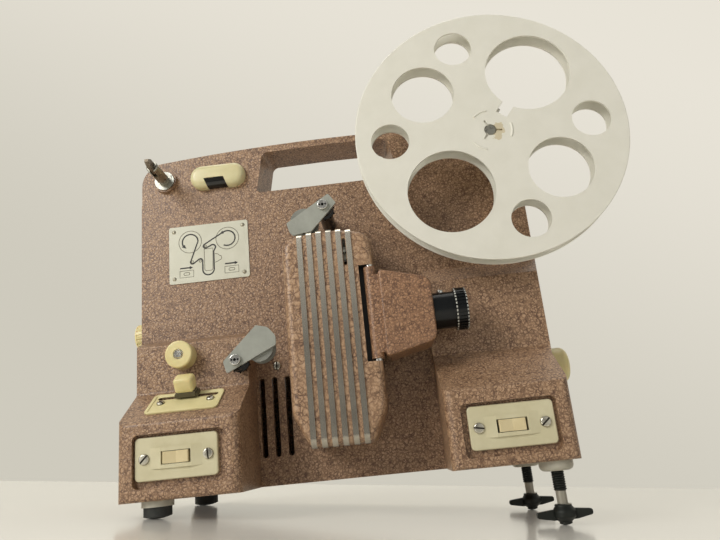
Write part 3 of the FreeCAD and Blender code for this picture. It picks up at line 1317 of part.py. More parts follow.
def make_reel_hub():
    front = -SPINDLE_TIP + REEL_SHEET
    wide = REEL_WIDTH - 2 * REEL_SHEET
    hub = rod(REEL_HUB_R, wide, V(SUPPLY_X, front, SUPPLY_Z), ALONG_Y)
    bore = rod(SPINDLE_R + RUNNING, wide + 2, V(SUPPLY_X, front - 1, SUPPLY_Z), ALONG_Y)
    half = GRIP_WIDTH / 2
    grip = block(SUPPLY_X + REEL_HUB_R - GRIP_DEEP, SUPPLY_X + REEL_HUB_R + 1, front - 1, front + wide + 1,
                 SUPPLY_Z - half, SUPPLY_Z + half)
    grip.rotate(V(SUPPLY_X, 0, SUPPLY_Z), ALONG_Y, -FILM_NOTCH_ANGLE)
    return hub.cut([bore, grip])


def make_round_knob():
    """Round knob with a dished front for its screw, on a stem through the casting."""
    seat = -LEFT_SECTION - SEAT
    knob = rod(ROUND_KNOB_R, ROUND_KNOB_HIGH, V(ROUND_KNOB_X, seat, ROUND_KNOB_Z), FRONT)
    front = seat - ROUND_KNOB_HIGH
    knob = knob.makeFillet(ROUND_KNOB_EDGE, edges_on(knob, lambda p: near(p.y, front)))
    sink = rod(SCREW_R + SEAT, ROUND_SINK_DEEP + 1, V(ROUND_KNOB_X, front - 1, ROUND_KNOB_Z), ALONG_Y)
    length = LEFT_SECTION + CAST_WALL + STEM_PAST
    stem = rod(ROUND_STEM_R, length + 1, V(ROUND_KNOB_X, seat - 1, ROUND_KNOB_Z), ALONG_Y)
    return knob.fuse(stem).cut(sink)


def make_round_knob_screw():
    seat = -LEFT_SECTION - SEAT - ROUND_KNOB_HIGH + ROUND_SINK_DEEP
    return slotted_head(V(ROUND_KNOB_X, seat, ROUND_KNOB_Z), FRONT, SCREW_R, 25)


def make_lever_plate():
    """Plate on the slanted top with the lever's slot."""
    middle = (LEVER_PLATE_FROM + LEVER_PLATE_TO) / 2
    wide = LEVER_PLATE_TO - LEVER_PLATE_FROM
    outline = rectangle(LEVER_X, middle, LEVER_PLATE_LENGTH, wide, LEVER_PLATE_CORNER)
    plate = prism(outline, top_view(0), V(0, 0, LEVER_PLATE_THICK))
    length = LEVER_STEM_LENGTH + 2 * LEVER_TRAVEL + 1
    slot = rectangle(LEVER_X, LEVER_SLOT_AT, length, LEVER_SLOT_WIDTH, LEVER_SLOT_WIDTH / 2 - 0.05)
    return on_slant(plate.cut(prism(slot, top_view(-1), V(0, 0, 4))))


def make_lever_slide():
    """Stem that slides in the slot, with the dark skirt that covers it."""
    half_length = LEVER_STEM_LENGTH / 2
    half_thick = LEVER_STEM_THICK / 2
    stem = block(LEVER_X - half_length, LEVER_X + half_length, LEVER_SLOT_AT - half_thick,
                 LEVER_SLOT_AT + half_thick, -LEVER_STEM_DEEP, LEVER_KNOB_FROM)
    low = LEVER_PLATE_THICK + SEAT
    long = LEVER_SKIRT_LENGTH / 2
    wide = LEVER_SKIRT_DEEP / 2
    skirt = block(LEVER_X - long, LEVER_X + long, LEVER_SLOT_AT - wide, LEVER_SLOT_AT + wide,
                  low, LEVER_KNOB_FROM)
    return on_slant(stem.fuse(skirt))


def make_lever_knob():
    """Rounded cube on the slide that the hand moves."""
    grip = rectangle(LEVER_X, LEVER_SLOT_AT, LEVER_KNOB_LENGTH, LEVER_KNOB_DEEP, LEVER_KNOB_CORNER)
    cube = prism(grip, top_view(LEVER_KNOB_FROM), V(0, 0, LEVER_KNOB_TO - LEVER_KNOB_FROM))
    cube = cube.makeFillet(LEVER_KNOB_EDGE, edges_on(cube, lambda p: near(p.z, LEVER_KNOB_TO)))
    return on_slant(cube)


def make_switch_plate(x, z):
    """Plastic plate with the rocker's window in a panel that rises from both ends."""
    rear = -BOX_FRONT + RECESS_DEPTH
    thick = SWITCH_PLATE_THICK
    front = rear - thick
    outline = rectangle(x, z, SWITCH_PLATE_LENGTH, SWITCH_PLATE_HEIGHT, SWITCH_PLATE_CORNER)
    plate = prism(outline, front_view(rear), V(0, -thick, 0))
    plate = plate.makeFillet(SWITCH_PLATE_EDGE, edges_on(plate, lambda p: near(p.y, front)))
    long = SWITCH_PANEL_LENGTH / 2
    flat = SWITCH_PANEL_FLAT / 2
    face = front - SWITCH_PANEL_RISE
    ramp = [(x - long, front, 0), (x - flat, face, 0), (x + flat, face, 0), (x + long, front, 0),
            (x, front + thick / 2, 0)]
    panel = prism(ramp, top_view(z - SWITCH_PANEL_HEIGHT / 2), V(0, 0, SWITCH_PANEL_HEIGHT))
    window = block(x - ROCKER_LENGTH / 2 - SEAT, x + ROCKER_LENGTH / 2 + SEAT, front - 2, rear + 1,
                   z - ROCKER_HEIGHT / 2 - SEAT, z + ROCKER_HEIGHT / 2 + SEAT)
    return plate.fuse(panel).cut(window)


def rocker_axis():
    """Depth of the rockers' hinge line."""
    return -BOX_FRONT + RECESS_DEPTH + ROCKER_SINK


def make_rocker(x, z):
    """Rocker with two pads that slope to a shallow hollow in the middle."""
    axis_y = rocker_axis()
    front = -BOX_FRONT + RECESS_DEPTH - SWITCH_PLATE_THICK - SWITCH_PANEL_RISE - ROCKER_RISE
    half = ROCKER_LENGTH / 2 - ROCKER_END_GAP
    side = axis_y - ROCKER_SIDE_DEEP
    profile = [(x - half, side, 0), (x - half, front, ROCKER_EDGE), (x, front + ROCKER_DISH, 0),
               (x + half, front, ROCKER_EDGE), (x + half, side, 0),
               (x, axis_y + ROCKER_PIVOT_R, 2 * ROCKER_EDGE)]
    low = z - ROCKER_HEIGHT / 2
    rocker = prism(profile, top_view(low), V(0, 0, ROCKER_HEIGHT))
    return rocker.fuse(rod(ROCKER_PIVOT_R, ROCKER_HEIGHT, V(x, axis_y, low), ALONG_Z))


def make_switch_bodies():
    """Switch cases behind the plates, each with a well for its rocker."""
    cases = []
    rear = -BOX_FRONT + RECESS_DEPTH
    for x, z in ((LEFT_PLATE_X, LEFT_PLATE_Z), (RIGHT_PLATE_X, RIGHT_PLATE_Z)):
        long = SWITCH_BODY_LENGTH / 2
        high = SWITCH_BODY_HEIGHT / 2
        case = block(x - long, x + long, rear, rear + SWITCH_BODY_DEPTH, z - high, z + high)
        well_long = ROCKER_LENGTH / 2 + SWITCH_WELL_SPARE
        well_high = ROCKER_HEIGHT / 2 + SEAT
        well = block(x - well_long, x + well_long, rear - 1, rear + SWITCH_WELL_DEEP,
                     z - well_high, z + well_high)
        cases.append(case.cut(well))
    return Part.makeCompound(cases)


def make_plate_screws():
    """Chrome screws of the switch plates, the lever plate and the central plate."""
    heads = []
    front = -BOX_FRONT + RECESS_DEPTH - SWITCH_PLATE_THICK
    for x, z, turn in ((LEFT_PLATE_X, LEFT_PLATE_Z, 70), (RIGHT_PLATE_X, RIGHT_PLATE_Z, 15)):
        for side in (-1, 1):
            seat = V(x + side * SWITCH_SCREW_SPACING / 2, front, z)
            heads.append(slotted_head(seat, FRONT, SCREW_R, turn + side * 25))
    heads.append(slotted_head(V(VENT_SCREW_X, 0, VENT_SCREW_Z), FRONT, VENT_SCREW_R, 90))
    for side in (-1, 1):
        head = slotted_head(V(0, 0, 0), ALONG_Z, LEVER_SCREW_R, 40 * side)
        across = LEVER_SLOT_AT - LEVER_SCREW_FROM_SLOT
        head.translate(V(LEVER_X + side * LEVER_SCREW_SPREAD / 2, across, LEVER_PLATE_THICK))
        heads.append(on_slant(head))
    return Part.makeCompound(heads)


def make_pilot_hood():
    """Domed hollow hood over the pilot lamp, open towards the front below."""
    seat = CROWN_SETBACK
    radius = HOOD_HEIGHT / 2 - 0.05
    outline = rectangle(HOOD_X, HOOD_Z, HOOD_LENGTH, HOOD_HEIGHT, radius)
    outer = prism(outline, front_view(seat), V(0, -HOOD_HIGH, 0))
    outer = outer.makeFillet(HOOD_EDGE, edges_on(outer, lambda p: near(p.y, seat - HOOD_HIGH)))
    wall = HOOD_WALL
    inner = prism(rectangle(HOOD_X, HOOD_Z, HOOD_LENGTH - 2 * wall, HOOD_HEIGHT - 2 * wall, radius - wall),
                  front_view(seat + 1), V(0, -HOOD_HIGH - 1 + wall, 0))
    inner = inner.makeFillet(HOOD_EDGE - wall, edges_on(inner, lambda p: near(p.y, seat - HOOD_HIGH + wall)))
    window = [(HOOD_X + across, HOOD_Z + up, 0) for across, up in HOOD_WINDOW]
    opening = prism(window, front_view(seat - HOOD_HIGH - 1), V(0, HOOD_HIGH - 1, 0))
    return outer.cut([inner, opening])


def make_diagram_plate():
    outline = rectangle(DIAGRAM_X, DIAGRAM_Z, DIAGRAM_LENGTH, DIAGRAM_HEIGHT, DIAGRAM_CORNER)
    return prism(outline, front_view(0), V(0, -DIAGRAM_THICK, 0))


def make_diagram_rivets():
    rivets = []
    half = DIAGRAM_LENGTH / 2 - RIVET_INSET
    high = DIAGRAM_HEIGHT / 2 - RIVET_INSET
    for side in (-1, 1):
        for level in (-1, 1):
            seat = V(DIAGRAM_X + side * half, -DIAGRAM_THICK, DIAGRAM_Z + level * high)
            ball = Part.makeSphere(RIVET_CROWN_R, seat + V(0, RIVET_CROWN_R - RIVET_HIGH, 0))
            rivets.append(ball.common(rod(RIVET_R, RIVET_CROWN_R, seat, FRONT)))
    return Part.makeCompound(rivets)


def gear_wheel(teeth, first_angle, y, z):
    """Straight-toothed gear whose first tooth points at an angle in the side view."""
    pitch_r = GEAR_MODULE * teeth / 2
    root_r = pitch_r - GEAR_DEDENDUM * GEAR_MODULE
    tip_r = pitch_r + GEAR_ADDENDUM * GEAR_MODULE
    low = root_r - 0.5
    tooth = [(-GEAR_ROOT_HALF, low, 0), (GEAR_ROOT_HALF, low, 0), (GEAR_PITCH_HALF, pitch_r, 0),
             (GEAR_TIP_HALF, tip_r, 0), (-GEAR_TIP_HALF, tip_r, 0), (-GEAR_PITCH_HALF, pitch_r, 0)]
    wheel = rod(root_r, GEAR_WIDTH, V(GEAR_X, 0, 0), ALONG_X)
    cogs = []
    for index in range(teeth):
        cog = prism(tooth, side_view(GEAR_X), V(GEAR_WIDTH, 0, 0))
        cog.rotate(V(0, 0, 0), ALONG_X, first_angle - 90 + index * 360.0 / teeth)
        cogs.append(cog)
    wheel = wheel.fuse(cogs)
    wheel.translate(V(0, y, z))
    return wheel


def gear_line():
    """Angle in the side view from the shutter's shaft up to the inching shaft."""
    return math.degrees(math.atan2(INCHING_Z - OPTIC_Z, INCHING_Y - SHUTTER_Y))


def make_inching_knob():
    """Fluted knob, shaft and gear that turn the mechanism by hand."""
    start = -PLATE_HALF - SEAT
    knob = rod(INCHING_R, INCHING_OUT - SEAT, V(start, INCHING_Y, INCHING_Z), V(-1, 0, 0))
    knob = knob.makeFillet(INCHING_EDGE, edges_on(knob, lambda p: near(p.x, -PLATE_HALF - INCHING_OUT)))
    flutes = []
    length = INCHING_OUT - SEAT - INCHING_EDGE - FLUTE_INSET
    for index in range(FLUTE_COUNT):
        angle = 2 * math.pi * index / FLUTE_COUNT
        y = INCHING_Y + (INCHING_R + FLUTE_OUT) * math.cos(angle)
        z = INCHING_Z + (INCHING_R + FLUTE_OUT) * math.sin(angle)
        flutes.append(rod(FLUTE_R, length, V(start - FLUTE_INSET, y, z), V(-1, 0, 0)))
    shaft = rod(SHAFT_R, GEAR_X + GEAR_WIDTH + 1 - start, V(start - 1, INCHING_Y, INCHING_Z), ALONG_X)
    gear = gear_wheel(INCHING_TEETH, gear_line() + 180, INCHING_Y, INCHING_Z)
    return knob.cut(flutes).fuse([shaft, gear])


def make_framing_knob():
    """Domed knob on the right side that shifts the picture in the gate."""
    seat = PLATE_HALF + SEAT
    knob = rod(FRAMING_R, FRAMING_OUT - SEAT, V(seat, FRAMING_Y, FRAMING_Z), ALONG_X)
    knob = knob.makeFillet(FRAMING_EDGE, edges_on(knob, lambda p: near(p.x, PLATE_HALF + FRAMING_OUT)))
    shaft = rod(SHAFT_R, FRAMING_SHAFT + 1, V(seat - FRAMING_SHAFT, FRAMING_Y, FRAMING_Z), ALONG_X)
    return knob.fuse(shaft)


def make_motor():
    """Motor on two feet that stand on the rear housing's floor."""
    body = rod(MOTOR_R, MOTOR_LENGTH, V(MOTOR_X, MOTOR_Y, MOTOR_Z), ALONG_X)
    ends = edges_on(body, lambda p: near(p.x, MOTOR_X) or near(p.x, MOTOR_X + MOTOR_LENGTH))
    body = body.makeFillet(MOTOR_EDGE, ends)
    floor = REAR_BOTTOM + REAR_WALL
    top = MOTOR_Z - MOTOR_R + MOTOR_FOOT_INTO
    long = MOTOR_FOOT_LENGTH
    half = MOTOR_FOOT_WIDTH / 2
    feet = []
    for x in (MOTOR_X + long, MOTOR_X + MOTOR_LENGTH - 2 * long):
        feet.append(block(x, x + long, MOTOR_Y - half, MOTOR_Y + half, floor, top))
    bore = rod(SHAFT_R + RUNNING, MOTOR_LENGTH + 2, V(MOTOR_X - 1, MOTOR_Y, MOTOR_Z), ALONG_X)
    return body.fuse(feet).cut(bore)


def make_motor_rotor():
    """Motor shaft with its blower and belt pulley."""
    fan_x = MOTOR_X - FAN_GAP - FAN_WIDTH
    pulley_x = fan_x - PULLEY_WIDTH
    length = MOTOR_X + MOTOR_LENGTH + SHAFT_PAST - pulley_x
    shaft = rod(SHAFT_R, length, V(pulley_x - 1, MOTOR_Y, MOTOR_Z), ALONG_X)
    hub = rod(FAN_HUB_R, FAN_WIDTH, V(fan_x, MOTOR_Y, MOTOR_Z), ALONG_X)
    pulley = rod(PULLEY_R, PULLEY_WIDTH, V(pulley_x, MOTOR_Y, MOTOR_Z), ALONG_X)
    middle = pulley_x + PULLEY_WIDTH / 2
    corners = [(middle - PULLEY_GROOVE, PULLEY_R + 1, 0), (middle, PULLEY_R - PULLEY_GROOVE, 0.6),
               (middle + PULLEY_GROOVE, PULLEY_R + 1, 0)]
    groove_wire = rounded_wire(corners, lambda x, r: V(x, MOTOR_Y, MOTOR_Z + r))
    groove = Part.Face(groove_wire).revolve(V(0, MOTOR_Y, MOTOR_Z), ALONG_X, 360)
    disc = rod(FAN_R, FAN_DISC, V(fan_x + FAN_WIDTH - FAN_DISC, MOTOR_Y, MOTOR_Z), ALONG_X)
    half = FAN_BLADE_THICK / 2
    blades = []
    for index in range(FAN_BLADES):
        blade = block(fan_x, fan_x + FAN_WIDTH, MOTOR_Y - half, MOTOR_Y + half,
                      MOTOR_Z + FAN_HUB_R - 1, MOTOR_Z + FAN_R)
        blade.rotate(V(0, MOTOR_Y, MOTOR_Z), ALONG_X, index * 360.0 / FAN_BLADES)
        blades.append(blade)
    return shaft.fuse([hub, pulley.cut(groove), disc] + blades)


def make_shutter():
    """Shutter disc with two light gaps, its shaft and gear."""
    disc = rod(SHUTTER_R, SHUTTER_SHEET, V(SHUTTER_X, SHUTTER_Y, OPTIC_Z), ALONG_X)
    gaps = []
    for turn in (0, 180):
        half = SHUTTER_GAP_WIDTH / 2
        gap = block(SHUTTER_X - 1, SHUTTER_X + SHUTTER_SHEET + 1, SHUTTER_Y - SHUTTER_R - 1,
                    SHUTTER_Y - SHUTTER_R + SHUTTER_GAP_DEEP, OPTIC_Z - half, OPTIC_Z + half)
        gap.rotate(V(0, SHUTTER_Y, OPTIC_Z), ALONG_X, turn)
        gaps.append(gap)
    start = GEAR_X - 2
    shaft = rod(SHAFT_R, SHUTTER_X + 2 - start, V(start, SHUTTER_Y, OPTIC_Z), ALONG_X)
    half_tooth = 180.0 / SHUTTER_TEETH
    gear = gear_wheel(SHUTTER_TEETH, gear_line() + half_tooth, SHUTTER_Y, OPTIC_Z)
    return disc.cut(gaps).fuse([shaft, gear])


def stand_up(shape):
    """Tilt the drawn shape onto its feet and put the origin on the table under the middle."""
    placed = shape.copy()
    placed.rotate(V(0, 0, 0), ALONG_Y, -math.degrees(TILT))
    left = -(PLATE_HALF - CORNER_R) * math.cos(TILT) - crown_curve(0)[1] * math.sin(TILT) - CORNER_R
    right = SUPPLY_X * math.cos(TILT) - SUPPLY_Z * math.sin(TILT) + REEL_R
    front = -BOX_FRONT
    back = REAR_BACK + INLET_FLANGE
    placed.translate(V(-(left + right) / 2, -(front + back) / 2, -foot_ground()))
    return placed


def build():
    pieces = {
        "main_casting": make_casting(),
        "rear_housing": make_rear_housing(),
        "rear_housing_screws": make_rear_screws(),
        "mains_inlet": make_mains_inlet(),
        "foot_bosses": make_foot_bosses(),
        "rubber_feet": make_rubber_feet(),
        "front_foot_tip": make_foot_tip(FRONT_FOOT_Y),
        "front_foot_screw": make_foot_screw(FRONT_FOOT_Y),
        "rear_foot_tip": make_foot_tip(REAR_FOOT_Y),
        "rear_foot_screw": make_foot_screw(REAR_FOOT_Y),
        "lamp_housing": make_lamp_housing(),
        "cooling_strips": make_cooling_strips(),
        "lamp_adjust_pin": make_adjust_pin(),
        "projection_lamp": make_lamp(),
        "lamp_holder": make_lamp_holder(),
        "reflector": make_reflector(),
        "condenser": make_condenser(),
        "film_gate": make_film_gate(),
        "lens_door": make_lens_door(),
        "hinge_pin": make_hinge_pin(),
        "lens_barrel": make_lens_barrel(),
        "focus_ring": make_focus_ring(),
        "lens_glass": make_lens_glass(),
        "lens_clamp_screw": make_clamp_screw(),
        "upper_arm": make_arm(UPPER_STUD_X, UPPER_STUD_Z, UPPER_ARM_TURN, UPPER_ARM_OUTLINE),
        "upper_roller": make_roller(UPPER_STUD_X, UPPER_STUD_Z, UPPER_ARM_TURN),
        "upper_sprocket": make_sprocket(UPPER_STUD_X, UPPER_STUD_Z, 0),
        "upper_nut": make_nut(UPPER_STUD_X, UPPER_STUD_Z),
        "lower_arm": make_arm(LOWER_STUD_X, LOWER_STUD_Z, LOWER_ARM_TURN, LOWER_ARM_OUTLINE),
        "lower_roller": make_roller(LOWER_STUD_X, LOWER_STUD_Z, LOWER_ARM_TURN),
        "lower_sprocket": make_sprocket(LOWER_STUD_X, LOWER_STUD_Z, -LEFT_SECTION),
        "lower_nut": make_nut(LOWER_STUD_X, LOWER_STUD_Z),
        "takeup_spindle": make_takeup_spindle(),
        "takeup_latch": make_takeup_latch(),
        "supply_spindle": make_supply_spindle(),
        "spindle_washers": make_spindle_washers(),
        "reel_front_flange": make_front_flange(),
        "reel_rear_flange": make_reel_flange(-SPINDLE_TIP + REEL_WIDTH - REEL_SHEET),
        "reel_hub": make_reel_hub(),
        "round_knob": make_round_knob(),
        "round_knob_screw": make_round_knob_screw(),
        "lever_plate": make_lever_plate(),
        "lever_slide": make_lever_slide(),
        "lever_knob": make_lever_knob(),
        "left_switch_plate": make_switch_plate(LEFT_PLATE_X, LEFT_PLATE_Z),
        "right_switch_plate": make_switch_plate(RIGHT_PLATE_X, RIGHT_PLATE_Z),
        "left_rocker": make_rocker(LEFT_PLATE_X, LEFT_PLATE_Z),
        "right_rocker": make_rocker(RIGHT_PLATE_X, RIGHT_PLATE_Z),
        "switch_bodies": make_switch_bodies(),
        "plate_screws": make_plate_screws(),
        "pilot_hood": make_pilot_hood(),
        "diagram_plate": make_diagram_plate(),
        "diagram_rivets": make_diagram_rivets(),
        "inching_knob": make_inching_knob(),
        "framing_knob": make_framing_knob(),
        "motor": make_motor(),
        "motor_rotor": make_motor_rotor(),
        "shutter": make_shutter(),
    }
    os.makedirs("parts", exist_ok=True)
    for name, shape in pieces.items():
        stand_up(shape).exportStep("parts/" + name + ".step")


build()
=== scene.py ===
import math

import bpy
from mathutils import Matrix, Vector


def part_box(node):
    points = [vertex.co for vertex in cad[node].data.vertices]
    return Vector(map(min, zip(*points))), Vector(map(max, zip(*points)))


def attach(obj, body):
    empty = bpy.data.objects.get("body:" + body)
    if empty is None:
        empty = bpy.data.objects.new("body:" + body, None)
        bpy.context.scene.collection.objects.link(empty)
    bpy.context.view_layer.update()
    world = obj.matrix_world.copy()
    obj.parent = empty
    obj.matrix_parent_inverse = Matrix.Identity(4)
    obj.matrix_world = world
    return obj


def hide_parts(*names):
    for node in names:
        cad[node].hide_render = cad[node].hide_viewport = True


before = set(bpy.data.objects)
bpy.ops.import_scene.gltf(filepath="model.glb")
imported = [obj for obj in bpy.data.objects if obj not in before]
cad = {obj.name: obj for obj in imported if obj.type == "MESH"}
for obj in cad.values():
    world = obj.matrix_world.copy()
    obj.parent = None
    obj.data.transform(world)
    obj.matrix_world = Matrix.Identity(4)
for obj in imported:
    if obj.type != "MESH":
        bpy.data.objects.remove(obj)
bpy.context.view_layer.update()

bpy.ops.object.select_all(action="DESELECT")

# Table, wall and light: the machine stands on a white lacquered table top in
# front of a plain painted wall, under soft light from the left. The camera is
# low in front of it and looks up.
VIEW_PLACE = (0.01964, -0.42786, 0.038)
VIEW_TURN = (105.9955, -0.4138, 3.762)
VIEW_LENS_MM = 31.468
SENSOR_WIDE_MM = 36
NEAREST_SEEN = 0.01
TABLE_WIDE, TABLE_DEEP = 4.0, 1.5
TABLE_BACK = 0.335
TABLE_COLOUR = "#FAF6EC"
TABLE_GLOW = 0.1
WALL_WIDE, WALL_HIGH = 4.0, 2.4
WALL_MIDDLE = (0, TABLE_BACK + 0.03, 0.6)
WALL_DIM = "#CECABD"
WALL_BRIGHT = "#E8E3D7"
WALL_FADE_RIGHT = 0.45
WALL_FADE_END = 0.75
MACHINE_MIDDLE = (0, 0, 0.15)
TABLE_UNDER_MACHINE = (0, 0.06, 0)
ROOM_COLOUR = "#F3F0EA"
ROOM_STRENGTH = 0.3


def tint(hex_colour):
    """Linear colour of an sRGB hex value."""
    channels = [int(hex_colour[i:i + 2], 16) / 255 for i in (1, 3, 5)]
    return [c / 12.92 if c <= 0.04045 else ((c + 0.055) / 1.055) ** 2.4 for c in channels] + [1.0]


def add(tree, kind, links=None, **settings):
    """A node with its settings; links gives sockets a value, an output or a node's first output."""
    made = tree.nodes.new(kind)
    for name, value in settings.items():
        setattr(made, name, value)
    for socket, value in (links or {}).items():
        if isinstance(value, bpy.types.Node):
            value = value.outputs[0]
        if isinstance(value, bpy.types.NodeSocket):
            tree.links.new(value, made.inputs[socket])
        else:
            made.inputs[socket].default_value = value
    return made


def new_finish(name, **sockets):
    """Material with one surface shader; gives it, its node tree and the shader."""
    material = bpy.data.materials.new(name)
    material.use_nodes = True
    tree = material.node_tree
    shader = tree.nodes["Principled BSDF"]
    for socket, value in sockets.items():
        shader.inputs[socket.replace("_", " ")].default_value = value
    return material, tree, shader


def backdrop_rays(tree):
    """1 for rays from the camera, from gloss and through glass, 0 for all others."""
    rays = add(tree, "ShaderNodeLightPath").outputs
    seen = add(tree, "ShaderNodeMath", {0: rays["Is Camera Ray"], 1: rays["Is Glossy Ray"]},
               operation="MAXIMUM")
    return add(tree, "ShaderNodeMath", {0: seen, 1: rays["Is Transmission Ray"]},
               operation="MAXIMUM")


scene = bpy.context.scene
scene.view_settings.view_transform = "Standard"
bpy.ops.object.camera_add(location=VIEW_PLACE, rotation=[math.radians(a) for a in VIEW_TURN])
camera = bpy.context.object
camera.name = "view"
camera.data.lens = VIEW_LENS_MM
camera.data.sensor_width = SENSOR_WIDE_MM
camera.data.sensor_fit = "HORIZONTAL"
camera.data.clip_start = NEAREST_SEEN
scene.camera = camera

bpy.ops.mesh.primitive_plane_add(size=1, location=(0, TABLE_BACK - TABLE_DEEP / 2, 0))
table = bpy.context.object
table.name = "table_top"
table.scale = (TABLE_WIDE, TABLE_DEEP, 1)
bpy.ops.object.transform_apply(scale=True, location=True)
# White lacquer: a hard clear gloss over white, which mirrors the machine softly
# at a low angle. It glows a little for the camera alone, as an overexposed top.
lacquer, lacquer_tree, lacquer_shader = new_finish(
    "white_table_lacquer", Base_Color=tint(TABLE_COLOUR), Roughness=0.3, IOR=1.6, Coat_Weight=1.0,
    Coat_IOR=1.6, Coat_Roughness=0.13, Emission_Color=tint(TABLE_COLOUR))
lacquer_glow = add(lacquer_tree, "ShaderNodeMath", {0: backdrop_rays(lacquer_tree), 1: TABLE_GLOW},
                   operation="MULTIPLY")
lacquer_tree.links.new(lacquer_glow.outputs[0], lacquer_shader.inputs["Emission Strength"])
table.data.materials.append(lacquer)

bpy.ops.mesh.primitive_plane_add(size=1, location=WALL_MIDDLE, rotation=(math.pi / 2, 0, 0))
wall = bpy.context.object
wall.name = "wall"
wall.scale = (WALL_WIDE, WALL_HIGH, 1)
bpy.ops.object.transform_apply(scale=True, location=True, rotation=True)
# Matt emulsion paint: even and without gloss, shown as it is seen, with painted light that makes it a
# little brighter towards the upper right.
emulsion, emulsion_tree, emulsion_shader = new_finish("matt_wall_paint", Base_Color=tint(WALL_BRIGHT),
                                                      Roughness=0.9)
# A Mix node's sockets for its two colours and for the colour it gives.
MIX_FIRST, MIX_SECOND, MIX_RESULT = 6, 7, 2
wall_place = add(emulsion_tree, "ShaderNodeSeparateXYZ",
                 {0: add(emulsion_tree, "ShaderNodeTexCoord").outputs["Object"]})
wall_fade = add(emulsion_tree, "ShaderNodeMath",
                {0: wall_place.outputs["X"], 1: WALL_FADE_RIGHT, 2: 0.0}, operation="MULTIPLY_ADD")
wall_fade = add(emulsion_tree, "ShaderNodeMath", {0: wall_place.outputs["Z"], 1: wall_fade},
                operation="ADD")
wall_fade = add(emulsion_tree, "ShaderNodeMapRange",
                {"Value": wall_fade, "From Min": 0.0, "From Max": WALL_FADE_END},
                interpolation_type="SMOOTHSTEP")
wall_tone = add(emulsion_tree, "ShaderNodeMix",
                {"Factor": wall_fade, MIX_FIRST: tint(WALL_DIM), MIX_SECOND: tint(WALL_BRIGHT)},
                data_type="RGBA").outputs[MIX_RESULT]
wall_seen = add(emulsion_tree, "ShaderNodeEmission", {"Color": wall_tone})
wall_mix = add(emulsion_tree, "ShaderNodeMixShader",
               {0: backdrop_rays(emulsion_tree), 1: emulsion_shader, 2: wall_seen})
# Seen from behind the wall is open, so the machine's back can be looked at.
wall_open = add(emulsion_tree, "ShaderNodeMixShader",
                {0: add(emulsion_tree, "ShaderNodeNewGeometry").outputs["Backfacing"], 1: wall_mix,
                 2: add(emulsion_tree, "ShaderNodeBsdfTransparent")})
emulsion_tree.links.new(wall_open.outputs[0],
                        emulsion_tree.nodes["Material Output"].inputs["Surface"])
wall.data.materials.append(emulsion)


def soft_light(name, place, aim, size, power, colour):
    """Square area lamp at a place, turned to aim at a point."""
    bpy.ops.object.light_add(type="AREA", location=place)
    lamp = bpy.context.object
    lamp.name = name
    lamp.data.size = size
    lamp.data.energy = power
    lamp.data.color = tint(colour)[:3]
    lamp.rotation_euler = (Vector(aim) - Vector(place)).to_track_quat("-Z", "Y").to_euler()


soft_light("key_light", place=(-1.0, -1.0, 0.78), aim=MACHINE_MIDDLE, size=0.75, power=16.4,
           colour="#FFFDF8")
soft_light("fill_light", place=(0.9, -1.1, 0.5), aim=MACHINE_MIDDLE, size=1.2, power=2.4,
           colour="#FFFCF4")
soft_light("ceiling_light", place=(-0.1, 0.3, 1.1), aim=TABLE_UNDER_MACHINE, size=0.9, power=5.5,
           colour="#FFFDF8")
world = bpy.data.worlds.new("room")
scene.world = world
world.use_nodes = True
room_light = world.node_tree.nodes["Background"]
room_light.inputs["Color"].default_value = tint(ROOM_COLOUR)
room_light.inputs["Strength"].default_value = ROOM_STRENGTH
# Past the wall's edges the camera sees the wall's dim tone, which lights nothing.
room_seen = add(world.node_tree, "ShaderNodeBackground", {"Color": tint(WALL_DIM), "Strength": 1.0})
room_mix = add(world.node_tree, "ShaderNodeMixShader",
               {0: add(world.node_tree, "ShaderNodeLightPath").outputs["Is Camera Ray"],
                1: room_light, 2: room_seen})
world.node_tree.links.new(room_mix.outputs[0], world.node_tree.nodes["World Output"].inputs["Surface"])


# Main casting, rear housing, lamp housing and lens door: die-cast aluminium
# and pressed sheet under brown hammer-tone enamel, sprayed and baked. The
# housings are screwed to the casting, and the door swings on the lamp housing.
MACHINE_LEAN = math.radians(6)
CASTING_CORNER_MM = Vector((-11.2697, -15.5, 21.3912))
POOL_CAST_MM = 2.1
POOL_HOUSING_MM = 3.8
VEIN_CAST = 0.21
VEIN_HOUSING = 0.12
CASTING_PAINT = ("#967659", "#A78768", "#B7977A")
# The door's browns are darker than the casting's as painted shade.
DOOR_PAINT_IN_PAINTED_SHADE = ("#8B664A", "#9C7656", "#AA8465")
PAINT_VEIN = "#553A2B"
PAINT_FLAKE_MM = 1.053
PAINT_RELIEF = 0.0003
STIR_IN_POOLS = 1.25
STIR_REACH_IN_POOLS = 1.8
BREAK_IN_POOLS = 1.923
WORM_IN_POOLS = 0.9524
WORM_SHARE = 0.045
WORM_DARK = 0.55
DOME_SHARE = 0.38
NOTCH_ALONG = (0.0176, 0.03)
NOTCH_DEEP = (-0.0412, 0.0)
NOTCH_HIGH = (0.0653, 0.1251)
NOTCH_PAINTED_SHADE = "#100F0D"


def own_place(tree):
    """Object position in metres, turned back to the machine's own upright sides."""
    back = Matrix.Rotation(MACHINE_LEAN, 3, "Y") @ (-CASTING_CORNER_MM / 1000)
    place = add(tree, "ShaderNodeTexCoord").outputs["Object"]
    return add(tree, "ShaderNodeMapping", {"Vector": place, "Location": back,
                                           "Rotation": (0, MACHINE_LEAN, 0)})


def within(tree, value, low, high):
    """1 where a value lies between two bounds, else 0."""
    above = add(tree, "ShaderNodeMath", {0: value, 1: low}, operation="GREATER_THAN")
    below = add(tree, "ShaderNodeMath", {0: value, 1: high}, operation="LESS_THAN")
    return add(tree, "ShaderNodeMath", {0: above, 1: below}, operation="MULTIPLY")


